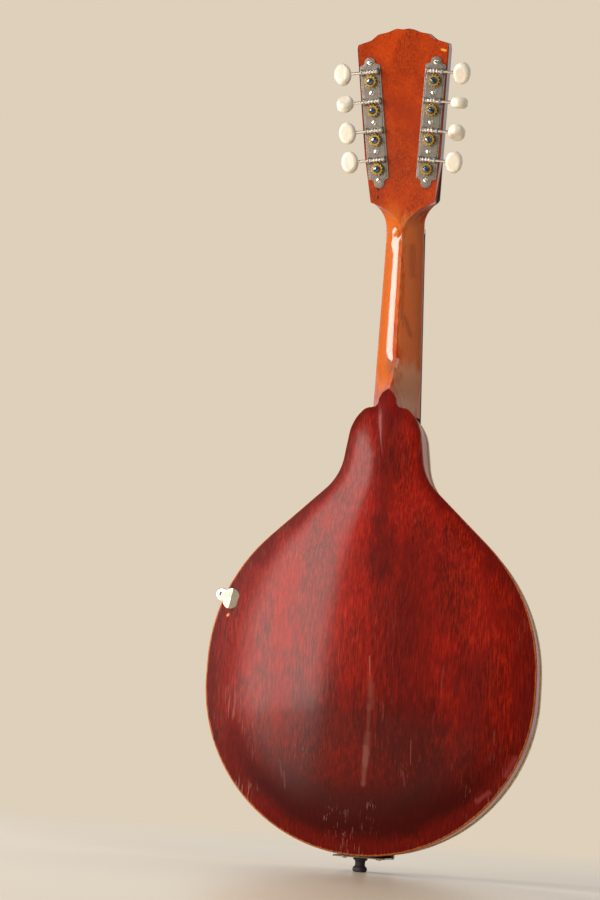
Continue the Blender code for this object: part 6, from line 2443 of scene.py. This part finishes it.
@dataclass
class Guard:
    """Raised pickguard with its pin, bracket, clamp foot and knurled nut."""

    body: BodyForm
    bridge: Bridge
    thickness: float = 0.0016
    edge: float = 0.0005
    lift: float = 0.0031
    inner: float = 0.0245
    inner_width: float = 0.003
    reach: float = 0.042
    bridge_gap: float = 0.0018
    length: float = 0.148
    bulge: Flat = (0.12, 0.8)               # where the outer curve starts, and how full it is
    pin_radius: float = 0.0015
    pin_out: float = 0.0065
    pin_drop: float = 0.028
    pin_tip: Flat = (0.7, 0.0008)
    angle: float = 21.4
    sheet: float = 0.0012
    width: float = 0.009
    bend: float = 0.0009
    arm_end: float = 0.77                   # of the bracket under the pickguard, as a share of its reach
    arm_bend: float = 0.43
    disc: Flat = (0.0065, 0.0080)
    disc_lift: float = 0.0015
    disc_turn: float = 12.0
    disc_bend: float = 16.0
    disc_flat: float = 0.35                 # how much less its near half is bent
    side_clear: float = 0.0010
    rod_radius: float = 0.0015
    rod_reach: float = 0.0088
    rod_tip: float = 0.0060
    rod_root: float = 0.0008
    rod_groove: float = 0.00022
    foot_tab: float = -0.0060
    foot_end: float = -0.0050
    bracket_tab: float = -0.0100
    tab_margin: float = 0.0040
    nut_radius: float = 0.0050
    nut_length: float = 0.0060
    nut_teeth: int = 24
    nut_edges: Flat = (0.0003, 0.0007)

    @property
    def back_y(self) -> float:
        """Face of the pickguard towards the soundboard."""
        return -(self.body.edge_y + self.body.top_arch + self.lift)

    @property
    def side_x(self) -> float:
        """Middle of the sheet beside the body."""
        return self.side_clear + self.sheet / 2

    def frame(self) -> Matrix:
        """Frame on the body's edge at the clamp, with +X outwards.

        Returns:
            The frame.
        """
        angle, radius = math.radians(self.angle), self.body.upper_radius
        x = self.body.lower_radius - radius
        z = self.body.bottom + self.body.lower_radius + self.body.side_straight
        place = shift(x + radius * math.cos(angle), 0.0, z + radius * math.sin(angle))
        return place @ turned(-self.angle, "Y")

    def build(self) -> None:
        """Model the pickguard and what holds it."""
        low = self.bridge.saddle_point()[1] + self.bridge.base_depth / 2 + self.bridge_gap
        points, steps, wide, (start, power) = [], 48, self.inner_width, self.bulge
        for index in range(steps + 1):
            share = index / steps
            bulge = math.sin(math.pi * (start + (1 - start) * share)) ** power if index < steps else 0.0
            points.append((self.inner + wide + (self.reach - wide) * bulge, low + self.length * share))
        points += [(self.inner, low + self.length), (self.inner, low)]
        guard = slab("guard_plate", points, self.back_y - self.thickness, self.back_y)
        deliver(bevelled(guard, self.edge, segments=3), Looks.guard, nodes=["pickguard"])
        x, z = self.inner + self.pin_out, low + self.length - self.pin_drop
        foot = self.body.top_y(x, z) - GAP
        radius, (tip, taper) = self.pin_radius, self.pin_tip
        profile = [(0.0, self.back_y), (radius, self.back_y), (radius, foot - taper), (radius * tip, foot),
                   (0.0, foot)]
        pin = placed(spun("guard_pin", profile, 20), shift(x, 0.0, z))
        deliver(pin, Looks.bright, nodes=["pickguard_pin"])
        self.bracket()
        self.clamp()

    def strip(self, name: str, path: Sequence[Flat]) -> Piece:
        """Strip of bent sheet along a path in the clamp's frame.

        Args:
            name: Name of the strip.
            path: Middle line of the sheet as (x, y).

        Returns:
            The strip.
        """
        shape = sheet_outline(path, self.bend, 4, self.sheet)
        item = slab(name, shape, -self.width / 2, self.width / 2, axis=2)
        return bevelled(item, SHEET_EDGE, SOFT_ANGLE)

    def bracket(self) -> None:
        """Bent bracket under the pickguard with its threaded rod."""
        edge = -(self.body.edge_y + GAP + self.sheet / 2)
        arm = self.back_y + GAP + self.sheet / 2
        place = self.frame()
        end = (self.inner + self.reach * self.arm_end - place.translation.x) / place.to_3x3().col[0].x
        item = self.strip("bent_bracket", [
            (self.rod_reach + self.tab_margin, self.bracket_tab), (self.side_x, self.bracket_tab),
            (self.side_x, edge), (-0.0030, edge), (-0.0068, edge - 0.0038), (end * self.arm_bend, arm),
            (end, arm)])
        rod = threaded_bar("rod", self.rod_radius, self.rod_groove, self.bracket_tab - self.rod_root,
                           self.rod_tip, 60)
        item = joined("bent_bracket", [item, placed(rod, shift(self.rod_reach, 0.0, 0.0))])
        deliver(placed(item, place), Looks.nickel, nodes=["pickguard_bracket"], smooth=40.0)

    def pad(self, level: float) -> Piece:
        """Creased round pad of the foot.

        Args:
            level: Middle of the pad's sheet along Y.

        Returns:
            The pad.
        """
        wide, tall = self.disc
        slope, rings, least = math.tan(math.radians(self.disc_bend)), [], 0.0004
        for x in [wide * math.sin(math.radians(a)) for a in range(-90, 91, 10)]:
            reach = tall * math.sqrt(max(least, 1 - (x / wide) ** 2))
            low = level - self.sheet * 0.45 - abs(x) * slope * (1.0 if x < 0 else self.disc_flat)
            rings.append(tube_ring(corners((low, -reach), (low + self.sheet, reach)), x, 0))
        turn = shift(-wide, 0.0, 0.0) @ turned(self.disc_turn, "Y")
        return placed(bevelled(loft("pad", rings), EDGE, 60.0), turn)

    def clamp(self) -> None:
        """Foot with its creased round pad, and the nut that draws it tight."""
        level = self.body.edge_y + self.disc_lift + self.sheet / 2
        item = self.strip("clamp_pad", [
            (self.rod_reach + self.tab_margin, self.foot_tab), (self.side_x, self.foot_tab),
            (self.side_x, level), (self.foot_end, level)])
        cut(item, [self.pad(level)], "UNION")
        radius, on_rod = self.rod_radius + GAP, shift(self.rod_reach, 0.0, 0.0)
        cut(item, [placed(round_bar("hole", radius, -0.009, -0.003, 24), on_rod)])
        deliver(placed(item, self.frame()), Looks.pad, Body.FOOT.value, ["clamp_foot"], smooth=12.0)
        low = self.foot_tab + self.sheet / 2 + GAP
        nut = knurled("knurled_nut", (radius, self.nut_radius), low, low + self.nut_length, self.nut_teeth,
                      *self.nut_edges)
        deliver(placed(nut, self.frame() @ on_rod), Looks.bright, Body.NUT.value, ["clamp_nut"])


# Stage

@dataclass(frozen=True)
class Lamp:
    """A rectangular soft light that faces the instrument; its azimuth runs from +Y towards +X."""

    name: str
    azimuth: float
    distance: float
    height: float
    size: Flat
    power: float
    in_gloss: bool = True
    warm: float = 0.0

    def add(self) -> None:
        """Add the light to the scene."""
        light = bpy.data.lights.new(self.name, "AREA")
        light.shape = "RECTANGLE"
        light.size, light.size_y = self.size
        light.energy = self.power
        light.color = (1.0, 1.0 - self.warm / 2, 1.0 - self.warm)
        item = bpy.data.objects.new(self.name, light)
        bpy.context.scene.collection.objects.link(item)
        item.visible_glossy = self.in_gloss
        turn = math.radians(self.azimuth)
        item.location = (self.distance * math.sin(turn), self.distance * math.cos(turn), self.height)
        item.rotation_euler = (Vector((0.0, 0.0, 0.35)) - item.location).to_track_quat("-Z", "Y").to_euler()


@dataclass
class Studio:
    """Floor, soft lights, pale surroundings and the camera."""

    camera_place: tuple[float, float, float] = (-0.2642, 1.3808, 0.0518)
    camera_right: tuple[float, float, float] = (-0.9721, -0.2215, 0.0775)
    camera_up: tuple[float, float, float] = (0.0324, 0.2006, 0.9791)
    camera_back: tuple[float, float, float] = (-0.2325, 0.9543, -0.1879)
    lens: float = 72.4
    sensor: float = 36.0
    nearest: float = 0.01
    backdrop: Colour = tone(222, 208, 186)
    floor: Colour = tone(214, 200, 178)
    floor_patch: Colour = tone(216, 200, 176)
    floor_radius: float = 9.0
    floor_roughness: float = 0.26
    fade: Flat = (0.25, 1.6)                # where the floor starts and ends to fade away
    soft: Colour = (1.0, 0.98, 0.95)
    soft_power: Flat = (0.26, 0.62)         # of the room, and of the wall that gloss mirrors
    wall: Flat = (-0.25, -0.75)             # directions along Y between which the wall comes up
    lamps: tuple[Lamp, ...] = (
        # A narrow key and a wide soft window at the left of the camera, and fills on the other sides
        Lamp("key", 73.0, 1.7, 0.75, (0.40, 0.70), 22.0),
        Lamp("window", 35.0, 1.8, 0.60, (0.80, 1.18), 25.0, warm=0.16),
        Lamp("fill", -42.0, 2.2, 1.9, (1.0, 1.0), 13.0),
        Lamp("front", 148.0, 2.3, 1.8, (1.4, 1.4), 34.0, in_gloss=False),
        Lamp("front_fill", -150.0, 2.6, 2.4, (1.2, 1.2), 16.0, in_gloss=False))

    def build(self) -> None:
        """Set up everything around the instrument."""
        scene = bpy.context.scene
        scene.view_settings.view_transform = "Standard"
        self.add_world(scene)
        self.add_floor()
        for lamp in self.lamps:
            lamp.add()
        self.add_camera(scene)

    def add_world(self, scene: bpy.types.Scene) -> None:
        """Pale surroundings for what the camera sees, and a plain soft light for the rest.

        Args:
            scene: Scene that gets them.
        """
        world = bpy.data.worlds.new("studio")
        scene.world = world
        world.use_nodes = True
        world.node_tree.nodes.clear()
        graph = Graph(world.node_tree)
        rays = graph.add("LightPath").outputs
        pale = graph.add("Background", {"Color": (*self.backdrop, 1.0), "Strength": 1.0})
        behind = graph.part(graph.add("TexCoord").outputs["Generated"], 1)
        wall = graph.times(graph.fade(behind, *self.wall), rays["Is Glossy Ray"])
        power = graph.fade(wall, 0.0, 1.0, *self.soft_power)
        soft = graph.add("Background", {"Color": (*self.soft, 1.0), "Strength": power})
        mixed = graph.add("MixShader", {0: rays["Is Camera Ray"], 1: soft.outputs[0], 2: pale.outputs[0]})
        graph.add("OutputWorld", {"Surface": mixed.outputs[0]})

    def add_floor(self) -> None:
        """Wide plain floor at the end pin's height, which fades into the surroundings far away."""
        rest_selection()
        bpy.ops.mesh.primitive_circle_add(vertices=96, radius=self.floor_radius, fill_type="NGON",
                                          location=(0.0, 0.0, 0.0))
        item = bpy.context.object
        item.name = "studio_floor"
        material = bpy.data.materials.new("studio_floor")
        material.use_nodes = True
        nodes = material.node_tree.nodes
        graph = Graph(material.node_tree)
        place = graph.add("TexCoord").outputs["Object"]
        patches = graph.times(graph.noise(place, 3.0, 2.0), 0.3)
        shader = graph.feed(nodes["Principled BSDF"], {
            "Base Color": graph.mix(patches, self.floor, self.floor_patch),
            "Roughness": self.floor_roughness})
        away = graph.vector("LENGTH", {0: place}, "Value")
        far = graph.times(graph.fade(away, *self.fade), graph.add("LightPath").outputs["Is Camera Ray"])
        pale = graph.add("Emission", {"Color": (*self.backdrop, 1.0), "Strength": 1.0})
        mixed = graph.add("MixShader", {0: far, 1: shader.outputs[0], 2: pale.outputs[0]})
        graph.feed(nodes["Material Output"], {"Surface": mixed.outputs[0]})
        item.data.materials.append(material)

    def add_camera(self, scene: bpy.types.Scene) -> None:
        """Camera at the photograph's angle.

        Args:
            scene: Scene that gets it.
        """
        lens = bpy.data.cameras.new("camera")
        lens.lens, lens.sensor_width, lens.clip_start = self.lens, self.sensor, self.nearest
        item = bpy.data.objects.new("camera", lens)
        scene.collection.objects.link(item)
        place = Matrix((self.camera_right, self.camera_up, self.camera_back)).transposed().to_4x4()
        place.translation = Vector(self.camera_place)
        item.matrix_world = place
        scene.camera = item


def main() -> None:
    """Build every sub-assembly and the stage."""
    logging.basicConfig(level=logging.INFO, format="%(name)s: %(message)s")
    body = BodyForm()
    neck = NeckForm(body)
    tuners = Tuners(neck)
    bridge = Bridge(body, neck)
    assemblies = (BodyPieces(body), NeckPieces(neck), tuners, bridge, Strings(bridge, tuners), Tail(body),
                  Guard(body, bridge))
    for assembly in assemblies:
        assembly.build()
        log.info("%s is built", type(assembly).__name__)
    Studio().build()


if __name__ == "__main__":
    main()
